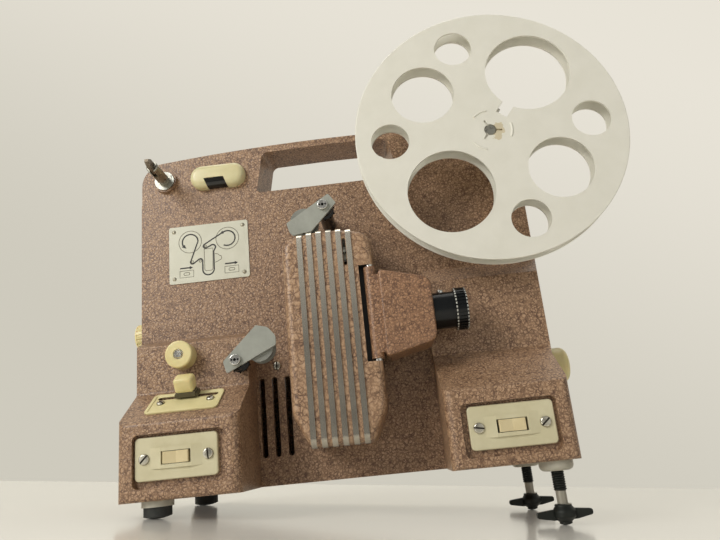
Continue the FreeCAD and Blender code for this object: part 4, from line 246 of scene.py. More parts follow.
def hammer_enamel(name, pool_mm, vein_share, paint):
    """Hammer-tone enamel: how wide its pools are, the veins' share of them, and three browns, dark to
    light, picked by the pools' painted dome light and the flakes.
    """
    # The paint draws itself into small raised pools with dark metal veins between them that break off
    # and start again; each pool is painted lighter in the middle and darker at its edge, as painted
    # light on its dome. Its silver flakes are finer than shows, so they are drawn about a millimetre
    # wide.
    material, tree, shader = new_finish(name, Roughness=0.42, Coat_Weight=0.12, Coat_Roughness=0.3)
    place = own_place(tree)
    stir = add(tree, "ShaderNodeTexNoise",
               {"Vector": place, "Scale": 1000 / (STIR_IN_POOLS * pool_mm), "Detail": 3.0})
    shift = add(tree, "ShaderNodeVectorMath", {0: stir.outputs["Color"], 1: (0.5, 0.5, 0.5)},
                operation="SUBTRACT")
    shift = add(tree, "ShaderNodeVectorMath",
                {0: shift, "Scale": STIR_REACH_IN_POOLS * pool_mm / 1000}, operation="SCALE")
    stirred = add(tree, "ShaderNodeVectorMath", {0: place, 1: shift}, operation="ADD")
    pools = add(tree, "ShaderNodeTexVoronoi", {"Vector": stirred, "Scale": 1000 / pool_mm},
                feature="DISTANCE_TO_EDGE").outputs["Distance"]
    vein = add(tree, "ShaderNodeMapRange",
               {"Value": pools, "From Min": 0.0, "From Max": vein_share, "To Min": 1.0,
                "To Max": 0.0}, interpolation_type="SMOOTHSTEP")
    breaks = add(tree, "ShaderNodeTexNoise",
                 {"Vector": place, "Scale": 1000 / (BREAK_IN_POOLS * pool_mm), "Detail": 2.0})
    breaks = add(tree, "ShaderNodeMapRange", {"Value": breaks, "From Min": 0.35, "From Max": 0.6,
                                              "To Min": 0.3, "To Max": 0.95})
    dark = add(tree, "ShaderNodeMath", {0: vein, 1: breaks}, operation="MULTIPLY")
    worm = add(tree, "ShaderNodeTexNoise",
               {"Vector": place, "Scale": 1000 / (WORM_IN_POOLS * pool_mm), "Detail": 1.0})
    worm = add(tree, "ShaderNodeMath", {0: worm, 1: 0.5}, operation="SUBTRACT")
    worm = add(tree, "ShaderNodeMath", {0: worm}, operation="ABSOLUTE")
    worm = add(tree, "ShaderNodeMapRange", {"Value": worm, "From Min": 0.0, "From Max": WORM_SHARE,
                                            "To Min": WORM_DARK, "To Max": 0.0},
               interpolation_type="SMOOTHSTEP")
    dark = add(tree, "ShaderNodeMath", {0: dark, 1: worm}, operation="MAXIMUM")
    dome = add(tree, "ShaderNodeMapRange", {"Value": pools, "From Max": DOME_SHARE},
               interpolation_type="SMOOTHSTEP")
    flake = add(tree, "ShaderNodeTexNoise", {"Vector": place, "Scale": 1000 / PAINT_FLAKE_MM,
                                             "Detail": 1.0})
    flake = add(tree, "ShaderNodeMapRange", {"Value": flake, "From Min": 0.36, "From Max": 0.64})
    # Painted light: each pool's dome is lighter in the middle and darker at its edge, mixed with the
    # flakes' own tone.
    light = add(tree, "ShaderNodeMath", {0: dome, 1: flake}, operation="ADD")
    light = add(tree, "ShaderNodeMath", {0: light, 1: 0.5}, operation="MULTIPLY")
    body = add(tree, "ShaderNodeValToRGB", {0: light})
    body.color_ramp.elements[0].position = 0.1
    body.color_ramp.elements[0].color = tint(paint[0])
    body.color_ramp.elements.new(0.5).color = tint(paint[1])
    body.color_ramp.elements[2].position = 0.95
    body.color_ramp.elements[2].color = tint(paint[2])
    colour = add(tree, "ShaderNodeMix",
                 {"Factor": dark, MIX_FIRST: body, MIX_SECOND: tint(PAINT_VEIN)},
                 data_type="RGBA").outputs[MIX_RESULT]
    tree.links.new(colour, shader.inputs["Base Color"])
    relief = add(tree, "ShaderNodeBump", {"Height": dome, "Strength": 0.4,
                                          "Distance": PAINT_RELIEF})
    tree.links.new(relief.outputs[0], shader.inputs["Normal"])
    return material


def dress(material, *names):
    """Give CAD nodes this finish."""
    for name in names:
        cad[name].data.materials.clear()
        cad[name].data.materials.append(material)


def coloured_over(material, amount, hex_colour):
    """Lay a colour over a finish's own, as far as an amount of 0 to 1 says."""
    tree = material.node_tree
    colour = tree.nodes["Principled BSDF"].inputs["Base Color"]
    laid = add(tree, "ShaderNodeMix",
               {"Factor": amount, MIX_FIRST: colour.links[0].from_socket,
                MIX_SECOND: tint(hex_colour)}, data_type="RGBA").outputs[MIX_RESULT]
    tree.links.new(laid, colour)


dress(hammer_enamel("hammer_enamel_on_casting", POOL_CAST_MM, VEIN_CAST, CASTING_PAINT),
      "main_casting", "rear_housing")
# The same coat is given a little redder and darker on the door; the darkness is painted shade, for the
# door stands in the shade on the machine's right.
dress(hammer_enamel("hammer_enamel_on_door_in_painted_shade", POOL_CAST_MM, VEIN_CAST, DOOR_PAINT_IN_PAINTED_SHADE), "lens_door")
# The lamp housing's coat is thicker and drew wider pools. Its hinge notch is coloured near black as
# painted shade in the deep gap round the hinge.
housing_enamel = hammer_enamel("hammer_enamel_on_lamp_house_with_painted_shade", POOL_HOUSING_MM, VEIN_HOUSING,
                               CASTING_PAINT)
notch_tree = housing_enamel.node_tree
notch_place = add(notch_tree, "ShaderNodeSeparateXYZ", {0: own_place(notch_tree)}).outputs
# Painted shade: the hinge notch's deep gap is coloured near black.
notch = add(notch_tree, "ShaderNodeMath", {0: within(notch_tree, notch_place["X"], *NOTCH_ALONG),
                                           1: within(notch_tree, notch_place["Z"], *NOTCH_HIGH)},
            operation="MULTIPLY")
notch = add(notch_tree, "ShaderNodeMath",
            {0: notch, 1: within(notch_tree, notch_place["Y"], *NOTCH_DEEP)}, operation="MULTIPLY")
coloured_over(housing_enamel, notch, NOTCH_PAINTED_SHADE)
dress(housing_enamel, "lamp_housing")


# Mechanism inside: motor and rotor, shutter, lamp with its holder, mirror and
# condenser, film gate and switch bodies, bolted to the casting's back. Only
# glimpses show through the vents, and the mains inlet through the rear housing.
SMEAR_MM = 2.22
CLOUD_MM = 14.3
GLASS_HAZE_MM = 3.3
GRAIN_RELIEF = 0.0002
CHROME = "#D2D1CB"
ANODISED_BLACK = ("#0A0C0D", "#121517", 0.24)


def plated(name, colour, roughness):
    """Plated or turned metal whose gloss varies with fine smears."""
    # Polishing lines are too fine to show, so they are drawn as wider smears.
    material, tree, shader = new_finish(name, Base_Color=tint(colour), Metallic=1.0)
    place = add(tree, "ShaderNodeTexCoord").outputs["Object"]
    smear = add(tree, "ShaderNodeTexNoise", {"Vector": place, "Scale": 1000 / SMEAR_MM, "Detail": 3.0})
    gloss = add(tree, "ShaderNodeMapRange",
                {"Value": smear, "From Min": 0.3, "From Max": 0.7, "To Min": roughness * 0.6,
                 "To Max": roughness * 1.6})
    tree.links.new(gloss.outputs[0], shader.inputs["Roughness"])
    fine = add(tree, "ShaderNodeBump", {"Height": smear, "Strength": 0.02, "Distance": GRAIN_RELIEF})
    tree.links.new(fine.outputs[0], shader.inputs["Normal"])
    return material


def moulded(name, colour, shade, roughness, grain_mm=1.11, depth=0.1, **sockets):
    """Moulded or painted finish: faint clouds of a second shade and a fine grain."""
    # The grain of a mould or a spray is finer than shows, so it is drawn coarser.
    material, tree, shader = new_finish(name, **sockets)
    place = add(tree, "ShaderNodeTexCoord").outputs["Object"]
    cloud = add(tree, "ShaderNodeTexNoise", {"Vector": place, "Scale": 1000 / CLOUD_MM,
                                             "Detail": 5.0, "Roughness": 0.6})
    cloud = add(tree, "ShaderNodeMapRange", {"Value": cloud, "From Min": 0.35, "From Max": 0.7})
    clouded = add(tree, "ShaderNodeMix",
                  {"Factor": cloud, MIX_FIRST: tint(colour), MIX_SECOND: tint(shade)},
                  data_type="RGBA").outputs[MIX_RESULT]
    tree.links.new(clouded, shader.inputs["Base Color"])
    speck = add(tree, "ShaderNodeTexNoise", {"Vector": place, "Scale": 1000 / grain_mm, "Detail": 3.0})
    gloss = add(tree, "ShaderNodeMapRange", {"Value": speck, "To Min": roughness * 0.75,
                                             "To Max": roughness * 1.25})
    tree.links.new(gloss.outputs[0], shader.inputs["Roughness"])
    relief = add(tree, "ShaderNodeBump", {"Height": speck, "Strength": depth,
                                          "Distance": GRAIN_RELIEF})
    tree.links.new(relief.outputs[0], shader.inputs["Normal"])
    return material


def clear_glass(name, colour, through, ior, haziest):
    """Clear glass with a breath of haze, drawn in wide patches because dust wouldn't show."""
    material, tree, shader = new_finish(name, Base_Color=tint(colour), Transmission_Weight=through,
                                        IOR=ior)
    haze = add(tree, "ShaderNodeTexNoise",
               {"Vector": add(tree, "ShaderNodeTexCoord").outputs["Object"],
                "Scale": 1000 / GLASS_HAZE_MM})
    gloss = add(tree, "ShaderNodeMapRange", {"Value": haze, "To Min": 0.01, "To Max": haziest})
    tree.links.new(gloss.outputs[0], shader.inputs["Roughness"])
    return material


# Turned steel: grey and half bright, with the lathe's fine lines.
turned_steel = plated("turned_steel", "#A3A196", 0.32)
dress(turned_steel, "motor_rotor", "film_gate")
# Sprayed motor enamel: dark grey, dull from oil and dust.
dress(moulded("grey_motor_enamel", "#3C3F3E", "#2E3130", 0.5), "motor")
# Silvered glass: a bright clean mirror.
dress(plated("silvered_mirror", "#DADAD6", 0.06), "reflector")
# Nickelled sheet: warm, half bright and browned by the lamp's heat.
dress(plated("nickelled_holder", "#B4AFA2", 0.3), "lamp_holder")
# Lamp glass: clear and thin, with hardly a tint.
dress(clear_glass("clear_lamp_glass", "#F2F4F4", 0.95, 1.47, 0.06), "projection_lamp")
# Lens glass: clear, with the faint blue of its coating.
coated_glass = clear_glass("coated_lens_glass", "#C9D6E8", 0.9, 1.52, 0.05)
dress(coated_glass, "condenser")
# Anodised aluminium: deep black, with the metal's own soft gloss under it.
black_anodised = moulded("black_anodised_aluminium", *ANODISED_BLACK, Specular_IOR_Level=0.3)
dress(black_anodised, "shutter")
# Phenolic moulding: black to dark brown, half dull.
dress(moulded("black_phenolic", "#1B1A18", "#26241F", 0.4), "switch_bodies", "mains_inlet")


# Feet: grey cast bosses, two black rubber buttons on the left and two wing
# screws on the right, blackened steel with a bare shank under the thread. The
# buttons are pressed in, and the screws set the machine's height.
RUBBER_GRAIN_MM = 0.667
SHANK_HIGH = (0.0108, 0.0177)
SCREW_BLACK = "#20231F"
SHANK_STEEL = "#9C978A"
FOOT_SPECK_MM = 1.11

# Cast zinc: pale grey and dull, a little stained.
dress(moulded("grey_cast_boss", "#B9B5A6", "#A29E8F", 0.5), "foot_bosses")
# Rubber: black with a grey bloom, quite dull.
dress(moulded("black_rubber", "#232523", "#31332F", 0.7, grain_mm=RUBBER_GRAIN_MM, depth=0.25),
      "rubber_feet")
# Blackened steel: near black and half glossy, rubbed bare on the plain shank.
foot_steel, foot_tree, foot_shader = new_finish("blackened_screw_with_bare_shank", Metallic=0.5)
foot_place = add(foot_tree, "ShaderNodeTexCoord").outputs["Object"]
foot_height = add(foot_tree, "ShaderNodeSeparateXYZ", {0: foot_place}).outputs["Z"]
foot_colour = add(foot_tree, "ShaderNodeMix",
                  {"Factor": within(foot_tree, foot_height, *SHANK_HIGH),
                   MIX_FIRST: tint(SCREW_BLACK), MIX_SECOND: tint(SHANK_STEEL)},
                  data_type="RGBA").outputs[MIX_RESULT]
foot_tree.links.new(foot_colour, foot_shader.inputs["Base Color"])
foot_speck = add(foot_tree, "ShaderNodeTexNoise",
                 {"Vector": foot_place, "Scale": 1000 / FOOT_SPECK_MM, "Detail": 3.0})
foot_gloss = add(foot_tree, "ShaderNodeMapRange", {"Value": foot_speck, "To Min": 0.3, "To Max": 0.6})
foot_tree.links.new(foot_gloss.outputs[0], foot_shader.inputs["Roughness"])
dress(foot_steel, "front_foot_screw", "rear_foot_screw", "front_foot_tip", "rear_foot_tip")


# Cooling strips: six bands of soft aluminium bent over the front of the lamp
# housing and held at their ends. The pin beside them moves the lamp.
STRIP_LINE_MM = 0.25
STRIP_LINE_LONG_MM = 71.4
STRIP_CLOUD_MM = 22.2
STRIP_ROUGHNESS = 0.22
STRIP_GREY = "#B5AFA2"
STRIP_SHADE = "#989286"
STRIP_PAINTED_HIGHLIGHT = "#F0EADB"
HIGHLIGHT_FADES_IN_FROM = 0.08
HIGHLIGHT_FULL_FROM = 0.15
STRIP_FOOT = 0.0165
STRIP_RELIEF = 0.0001

# Rolled aluminium: half bright, with lines along the strip that are drawn coarser than the rolls leave
# them. Heat and hands have dulled it in clouds, and its crest and bent ends are coloured bright as
# painted highlights where they catch the light.
strip_finish, strip_tree, strip_shader = new_finish("drawn_aluminium_strip_with_painted_highlights", Metallic=0.9)
strip_place = own_place(strip_tree)
strip_along = add(strip_tree, "ShaderNodeMapping",
                  {"Vector": strip_place, "Scale": (1000 / STRIP_LINE_MM, 1000 / STRIP_LINE_MM,
                                                    1000 / STRIP_LINE_LONG_MM)})
strip_lines = add(strip_tree, "ShaderNodeTexNoise", {"Vector": strip_along, "Scale": 1.0,
                                                     "Detail": 3.0})
strip_cloud = add(strip_tree, "ShaderNodeTexNoise",
                  {"Vector": strip_place, "Scale": 1000 / STRIP_CLOUD_MM, "Detail": 4.0})
strip_dull = add(strip_tree, "ShaderNodeMath", {0: strip_lines, 1: strip_cloud}, operation="MULTIPLY")
strip_dull = add(strip_tree, "ShaderNodeMapRange", {"Value": strip_dull, "From Min": 0.1,
                                                    "From Max": 0.4})
strip_colour = add(strip_tree, "ShaderNodeMix",
                   {"Factor": strip_dull, MIX_FIRST: tint(STRIP_GREY),
                    MIX_SECOND: tint(STRIP_SHADE)}, data_type="RGBA").outputs[MIX_RESULT]
strip_tree.links.new(strip_colour, strip_shader.inputs["Base Color"])
strip_height = add(strip_tree, "ShaderNodeSeparateXYZ", {0: own_place(strip_tree)}).outputs["Z"]
# Painted highlights: the crest and the bent lower ends are coloured bright where they catch the light.
strip_crest_highlight = add(strip_tree, "ShaderNodeMapRange",
                  {"Value": strip_height, "From Min": HIGHLIGHT_FADES_IN_FROM, "From Max": HIGHLIGHT_FULL_FROM})
strip_painted_highlight = add(strip_tree, "ShaderNodeMath",
                  {0: strip_crest_highlight, 1: within(strip_tree, strip_height, 0.0, STRIP_FOOT)},
                  operation="MAXIMUM")
coloured_over(strip_finish, strip_painted_highlight, STRIP_PAINTED_HIGHLIGHT)
strip_gloss = add(strip_tree, "ShaderNodeMapRange",
                  {"Value": strip_lines, "To Min": STRIP_ROUGHNESS * 0.7,
                   "To Max": STRIP_ROUGHNESS * 1.3})
strip_tree.links.new(strip_gloss.outputs[0], strip_shader.inputs["Roughness"])
strip_relief = add(strip_tree, "ShaderNodeBump", {"Height": strip_lines, "Strength": 0.2,
                                                  "Distance": STRIP_RELIEF})
strip_tree.links.new(strip_relief.outputs[0], strip_shader.inputs["Normal"])
dress(strip_finish, "cooling_strips")
dress(turned_steel, "lamp_adjust_pin")


# Lens and hinge: an anodised barrel held in the door by one clamp screw, glass
# at its ends and a milled focusing ring round it. The door's hinge pin runs
# through the lamp housing.
RING_RADIUS = 0.013
RING_HALF_LENGTH = 0.0037
RING_LANDS = 36
LAND_TROUGH = 0.2
HIGHLIGHT_FROM_END = (0.0009, 0.0001)
HIGHLIGHT_UNDER_AND_OVER = (0.0007, 0.001)
LAND_PAINTED_HIGHLIGHT = "#B4B3AB"
PIN_BARE = (0.0654, 0.125)

dress(black_anodised, "lens_barrel")
dress(coated_glass, "lens_glass")
# Chrome plate: bright and cool, with faint smears.
chrome = plated("chrome_plate", CHROME, 0.2)
dress(chrome, "lens_clamp_screw")

# Anodised ring: black, with the ends of its milled lands coloured light grey as painted highlights
# where their edges catch the light.
ring_finish = moulded("anodised_ring_with_painted_land_highlights", *ANODISED_BLACK, Specular_IOR_Level=0.3)
ring_tree = ring_finish.node_tree
ring_low, ring_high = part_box("focus_ring")
lens_axis = Vector((math.cos(MACHINE_LEAN), 0, math.sin(MACHINE_LEAN)))
from_ring = add(ring_tree, "ShaderNodeVectorMath",
                {0: add(ring_tree, "ShaderNodeTexCoord").outputs["Object"],
                 1: (ring_low + ring_high) / 2}, operation="SUBTRACT")
ring_along = add(ring_tree, "ShaderNodeVectorMath", {0: from_ring, 1: lens_axis},
                 operation="DOT_PRODUCT")
ring_along = add(ring_tree, "ShaderNodeMath", {0: ring_along.outputs["Value"]}, operation="ABSOLUTE")
ring_out = add(ring_tree, "ShaderNodeVectorMath", {0: from_ring, 1: lens_axis},
               operation="CROSS_PRODUCT")
ring_out = add(ring_tree, "ShaderNodeVectorMath", {0: ring_out}, operation="LENGTH").outputs["Value"]
ring_up = add(ring_tree, "ShaderNodeVectorMath", {0: from_ring, 1: lens_axis.cross((0, 1, 0))},
              operation="DOT_PRODUCT").outputs["Value"]
ring_angle = add(ring_tree, "ShaderNodeMath",
                 {0: add(ring_tree, "ShaderNodeSeparateXYZ", {0: from_ring}).outputs["Y"],
                  1: ring_up}, operation="ARCTAN2")
ring_wave = add(ring_tree, "ShaderNodeMath", {0: ring_angle, 1: RING_LANDS}, operation="MULTIPLY")
ring_wave = add(ring_tree, "ShaderNodeMath", {0: ring_wave}, operation="COSINE")
ring_land = add(ring_tree, "ShaderNodeMath", {0: ring_wave, 1: LAND_TROUGH}, operation="LESS_THAN")
# Painted highlight on the end edges of the lands.
at_the_ends = within(ring_tree, ring_along, RING_HALF_LENGTH - HIGHLIGHT_FROM_END[0],
                     RING_HALF_LENGTH - HIGHLIGHT_FROM_END[1])
on_the_outside = within(ring_tree, ring_out, RING_RADIUS - HIGHLIGHT_UNDER_AND_OVER[0],
                        RING_RADIUS + HIGHLIGHT_UNDER_AND_OVER[1])
ring_highlight = add(ring_tree, "ShaderNodeMath", {0: at_the_ends, 1: on_the_outside},
                operation="MULTIPLY")
ring_highlight = add(ring_tree, "ShaderNodeMath", {0: ring_highlight, 1: ring_land}, operation="MULTIPLY")
coloured_over(ring_finish, ring_highlight, LAND_PAINTED_HIGHLIGHT)
dress(ring_finish, "focus_ring")

# Plated pin: bright in the notch, painted over with the housing elsewhere.
pin_finish = plated("hinge_pin_bare_in_the_notch", CHROME, 0.2)
pin_tree = pin_finish.node_tree
pin_shader = pin_tree.nodes["Principled BSDF"]
pin_height = add(pin_tree, "ShaderNodeSeparateXYZ", {0: own_place(pin_tree)}).outputs["Z"]
pin_bare = within(pin_tree, pin_height, *PIN_BARE)
pin_colour = add(pin_tree, "ShaderNodeMix",
                 {"Factor": pin_bare, MIX_FIRST: tint(CASTING_PAINT[1]), MIX_SECOND: tint(CHROME)},
                 data_type="RGBA").outputs[MIX_RESULT]
pin_tree.links.new(pin_bare.outputs[0], pin_shader.inputs["Metallic"])
pin_tree.links.new(pin_colour, pin_shader.inputs["Base Color"])
dress(pin_finish, "hinge_pin")


# Film guides: two arms stamped from steel, each with a moulded roller between
# its plate and the casting, and a driven sprocket beside it. A round nut with
# two pin holes holds each arm on its stud.
SATIN_GRAIN_MM = 0.833
PIN_HOLE_RADIUS = 0.0006
PIN_HOLE_AT = 0.0019
STUD_HOLE_RADIUS = 0.0009
HOLE_PAINTED_SHADE = "#15140F"
MACHINE = Matrix.Translation(CASTING_CORNER_MM / 1000) @ Matrix.Rotation(-MACHINE_LEAN, 4, "Y")

# Satin enamel: even blue-grey with a low silky gloss.
dress(moulded("satin_grey_enamel", "#9B9D94", "#8A8C83", 0.4, grain_mm=SATIN_GRAIN_MM),
      "upper_arm", "lower_arm")
# Moulded roller: darker grey, with a half gloss.
dress(moulded("grey_moulded_roller", "#85867E", "#6F7069", 0.4), "upper_roller", "lower_roller")
dress(black_anodised, "upper_sprocket", "lower_sprocket")
# Chrome plate again, with the nut's holes painted as dark spots in its face: painted shade that stands
# in for the holes' depth.
for node in ("upper_nut", "lower_nut"):
    nut_finish = plated(f"chrome_{node}", CHROME, 0.2)
    nut_tree = nut_finish.node_tree
    nut_low, nut_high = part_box(node)
    in_face = add(nut_tree, "ShaderNodeVectorMath",
                  {0: own_place(nut_tree), 1: MACHINE.inverted() @ ((nut_low + nut_high) / 2)},
                  operation="SUBTRACT")
    in_face = add(nut_tree, "ShaderNodeVectorMath", {0: in_face, 1: (1, 0, 1)}, operation="MULTIPLY")
    from_stud = add(nut_tree, "ShaderNodeVectorMath", {0: in_face}, operation="LENGTH")
    one_side = add(nut_tree, "ShaderNodeVectorMath", {0: in_face}, operation="ABSOLUTE")
    from_pin_hole = add(nut_tree, "ShaderNodeVectorMath", {0: one_side, 1: (PIN_HOLE_AT, 0, 0)},
                        operation="DISTANCE")
    hole_shade = add(nut_tree, "ShaderNodeMath",
               {0: within(nut_tree, from_stud.outputs["Value"], -1.0, STUD_HOLE_RADIUS),
                1: within(nut_tree, from_pin_hole.outputs["Value"], -1.0, PIN_HOLE_RADIUS)},
               operation="MAXIMUM")
    nut_colour = add(nut_tree, "ShaderNodeMix",
                     {"Factor": hole_shade, MIX_FIRST: tint(CHROME), MIX_SECOND: tint(HOLE_PAINTED_SHADE)},
                     data_type="RGBA").outputs[MIX_RESULT]
    nut_tree.links.new(nut_colour, nut_tree.nodes["Principled BSDF"].inputs["Base Color"])
    dress(nut_finish, node)


# Spindles: turned steel shafts in the casting's bosses, each with a nickelled
# washer round it. The take-up spindle's blade folds to let a reel on.
dress(turned_steel, "takeup_spindle", "supply_spindle")
# Nickel plate dulled by oil: grey, with a soft gloss.
dress(plated("dull_washer_nickel", "#A3A49C", 0.34), "spindle_washers")
# Browned steel: warm and dark, half metal and half stain.
dress(moulded("browned_latch_steel", "#7A6F60", "#665B4E", 0.45, depth=0.02, Metallic=0.6),
      "takeup_latch")


# Knobs, switch plates and rockers: compression moulded urea, once ivory, now
# yellowed. The round knob is held by a screw, the side knobs are pressed on,
# and the plates lie in recesses of the two boxes.
UREA_GRAIN_MM = 0.714

# Ivory urea: warm yellow with a soft half gloss, and a little light gets in.
ivory = moulded("yellowed_ivory_urea", "#DDD09A", "#D0C186", 0.33, grain_mm=UREA_GRAIN_MM,
                depth=0.05, Subsurface_Weight=0.06, Subsurface_Scale=0.002)
dress(ivory, "round_knob", "lever_knob", "inching_knob", "framing_knob")
dress(chrome, "round_knob_screw")
# Cream urea: paler and duller, with dust in its pores.
dress(moulded("dusty_cream_urea", "#CFC8A8", "#C4BC99", 0.4, grain_mm=UREA_GRAIN_MM, depth=0.05),
      "left_switch_plate", "right_switch_plate")
# Worn urea: a warmer cream, polished by fingers.
dress(moulded("worn_rocker_urea", "#D6C79E", "#CBBB90", 0.34, grain_mm=UREA_GRAIN_MM, depth=0.05),
      "left_rocker", "right_rocker")


# Lever plate: a flat moulding with a raised rim round a sunk floor and a long
# slot under its upper edge, screwed to the slanted top of the left box. A grip
# on a dark neck slides along the slot.
BOX_SLOPE = Matrix.Translation((0, -0.053, 0.0425)) @ Matrix.Rotation(math.radians(31.8), 4, "X")
LEVER_PLATE_MIDDLE = (-0.0941, 0.0214, 0.0006)
LEVER_PLATE_SIZE = (0.0438, 0.0236, 0.0012)
LEVER_PLATE_CORNER = 0.003
RIM_WIDE = 0.0017
RIM_SLOPE = 0.0004
LEVER_FLOOR_MM = 0.6
SLOT_MIDDLE = (-0.0941, 0.0284, 0.001)
SLOT_SIZE = (0.037, 0.0036, 0.006)
SLOT_CORNER = 0.0015
LEVER_PLATE_EDGE = 0.00025
GRIP_MIDDLE = (-0.0944, 0.028, 0.0094)
GRIP_SIZE = (0.012, 0.0094, 0.0096)
GRIP_ROUNDING = 0.0023
NECK_MIDDLE = (-0.0937, 0.0274, 0.0035)
NECK_SIZE = (0.0112, 0.007, 0.0036)
NECK_ROUNDING = 0.0006


def active(name):
    """The object just added, alone in the selection and with its name."""
    piece = bpy.context.object
    bpy.ops.object.select_all(action="DESELECT")
    piece.select_set(True)
    piece.name = name
    piece.data.name = name
    return piece


def block(name, middle, size):
    """Box of a size with its middle at a point, both in metres."""
    bpy.ops.mesh.primitive_cube_add(size=1, location=middle)
    piece = active(name)
    piece.scale = size
    bpy.ops.object.transform_apply(scale=True, location=True)
    return piece


def mark(piece, part, test):
    """Go to edit mode with just those edges or faces selected that pass a test."""
    bpy.context.view_layer.objects.active = piece
    bpy.ops.object.mode_set(mode="EDIT")
    bpy.ops.mesh.select_mode(type=part)
    bpy.ops.mesh.select_all(action="DESELECT")
    bpy.ops.object.mode_set(mode="OBJECT")
    for item in piece.data.edges if part == "EDGE" else piece.data.polygons:
        item.select = test(item)
    bpy.ops.object.mode_set(mode="EDIT")


def round_edges(piece, rounding, segments, test):
    """Round just those edges whose two end points pass a test."""
    corners = piece.data.vertices
    mark(piece, "EDGE", lambda edge: test(*(corners[number].co for number in edge.vertices)))
    bpy.ops.mesh.bevel(offset=rounding, segments=segments)
    bpy.ops.object.mode_set(mode="OBJECT")


def finish_with(piece, kind, **settings):
    """Add a modifier with its settings and apply it."""
    bpy.context.view_layer.objects.active = piece
    made = piece.modifiers.new(kind.lower(), kind)
    for name, value in settings.items():
        setattr(made, name, value)
    bpy.ops.object.modifier_apply(modifier=made.name)


def smooth(piece, sharpest):
    """Smooth shading, with edges sharper than an angle in degrees left sharp."""
    bpy.ops.object.select_all(action="DESELECT")
    piece.select_set(True)
    bpy.context.view_layer.objects.active = piece
    bpy.ops.object.shade_smooth_by_angle(angle=math.radians(sharpest))


def settle(piece, place, body, *finishes):
    """Put a finished mesh in its place, give it its finishes and let it ride on a body."""
    piece.data.transform(piece.matrix_world)
    piece.matrix_world = Matrix.Identity(4)
    piece.data.transform(place)
    for finish in finishes:
        piece.data.materials.append(finish)
    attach(piece, body)


lever_plate = block("lever_plate_moulding", LEVER_PLATE_MIDDLE, LEVER_PLATE_SIZE)
round_edges(lever_plate, LEVER_PLATE_CORNER, 6,
            lambda a, b: abs(a.z - b.z) > 0.9 * LEVER_PLATE_SIZE[2])
mark(lever_plate, "FACE", lambda face: face.normal.z > 0.9)
bpy.ops.mesh.inset(thickness=RIM_WIDE, depth=0.0)
bpy.ops.mesh.inset(thickness=RIM_SLOPE, depth=-LEVER_FLOOR_MM / 1000)
bpy.ops.object.mode_set(mode="OBJECT")
slot_form = block("slot_form", SLOT_MIDDLE, SLOT_SIZE)
finish_with(slot_form, "BEVEL", width=SLOT_CORNER, segments=5)
finish_with(lever_plate, "BOOLEAN", operation="DIFFERENCE", object=slot_form, solver="EXACT")
bpy.data.objects.remove(slot_form)
finish_with(lever_plate, "BEVEL", width=LEVER_PLATE_EDGE, segments=2, limit_method="ANGLE",
            angle_limit=math.radians(40))
# Cream moulding: warm and even, half dull.
settle(lever_plate, MACHINE @ BOX_SLOPE, "body",
       moulded("cream_lever_moulding", "#DED3A2", "#D2C791", 0.35))
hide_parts("lever_plate")

lever_grip = block("lever_grip", GRIP_MIDDLE, GRIP_SIZE)
round_edges(lever_grip, GRIP_ROUNDING, 5, lambda a, b: True)
smooth(lever_grip, 50)
settle(lever_grip, MACHINE @ BOX_SLOPE, "speed_lever", ivory)
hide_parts("lever_knob")

lever_neck = block("lever_neck", NECK_MIDDLE, NECK_SIZE)
finish_with(lever_neck, "BEVEL", width=NECK_ROUNDING, segments=3)
# Vulcanised fibre: brown-black and dull.
slide_fibre = moulded("dark_slide_fibre", "#5E573F", "#4A4433", 0.5)
settle(lever_neck, MACHINE @ BOX_SLOPE, "speed_lever", slide_fibre)
dress(slide_fibre, "lever_slide")


# Pilot lamp's hood: a low domed shell of the same ivory urea, cut out at its lower edge, with a nearly
# black sheet in the cut as painted shade for the dark hollow under the hood. It is clipped to the
# casting's front.
HOOD_MIDDLE = Vector((-0.0783, 0.0008, 0.2157))
HOOD_SIZE = (0.0398, 0.0066, 0.0176)
HOOD_CORNER = 0.0086
HOOD_DOME = 0.0045
SHADE_SHEET_SHRINK = (0.97, 0.92, 0.95)
CUT_MIDDLE = (0.00116, -0.005, -0.00705)
CUT_SIZE = (0.0142, 0.012, 0.0099)
CUT_LEAN = -0.00356

hood = block("pilot_hood_shell", (0, -HOOD_SIZE[1] / 2, 0), HOOD_SIZE)
nearly_deep = 0.9 * HOOD_SIZE[1]
round_edges(hood, HOOD_CORNER, 12, lambda a, b: abs(a.y - b.y) > nearly_deep)
round_edges(hood, HOOD_DOME, 7, lambda a, b: a.y < -nearly_deep and b.y < -nearly_deep)
bpy.ops.object.duplicate()
shade_sheet = active("pilot_window_shade")
shade_sheet.scale = SHADE_SHEET_SHRINK
bpy.ops.object.transform_apply(scale=True)
cut = block("window_cut", CUT_MIDDLE, CUT_SIZE)
mark(cut, "FACE", lambda face: face.normal.z > 0.9)
bpy.ops.transform.translate(value=(CUT_LEAN, 0, 0))
bpy.ops.object.mode_set(mode="OBJECT")
finish_with(hood, "BOOLEAN", operation="DIFFERENCE", object=cut, solver="EXACT")
finish_with(shade_sheet, "BOOLEAN", operation="INTERSECT", object=cut, solver="EXACT")
bpy.data.objects.remove(cut)
# Pale urea: less yellowed than the knobs, and glossier.
hood_urea = moulded("pale_ivory_urea", "#D3CBA1", "#C9C092", 0.3, grain_mm=UREA_GRAIN_MM,
                    depth=0.04, Subsurface_Weight=0.06, Subsurface_Scale=0.002)
dress(hood_urea, "pilot_hood")
# Painted shade: a nearly black, smooth and glossy sheet standing in for the dark hollow under the hood.
hood_window_shade = moulded("painted_shade_in_hood_window", "#0E0F0D", "#171814", 0.12, depth=0.02)
for piece, finish in ((hood, hood_urea), (shade_sheet, hood_window_shade)):
    smooth(piece, 35)
    settle(piece, MACHINE @ Matrix.Translation(HOOD_MIDDLE), "body", finish)
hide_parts("pilot_hood")


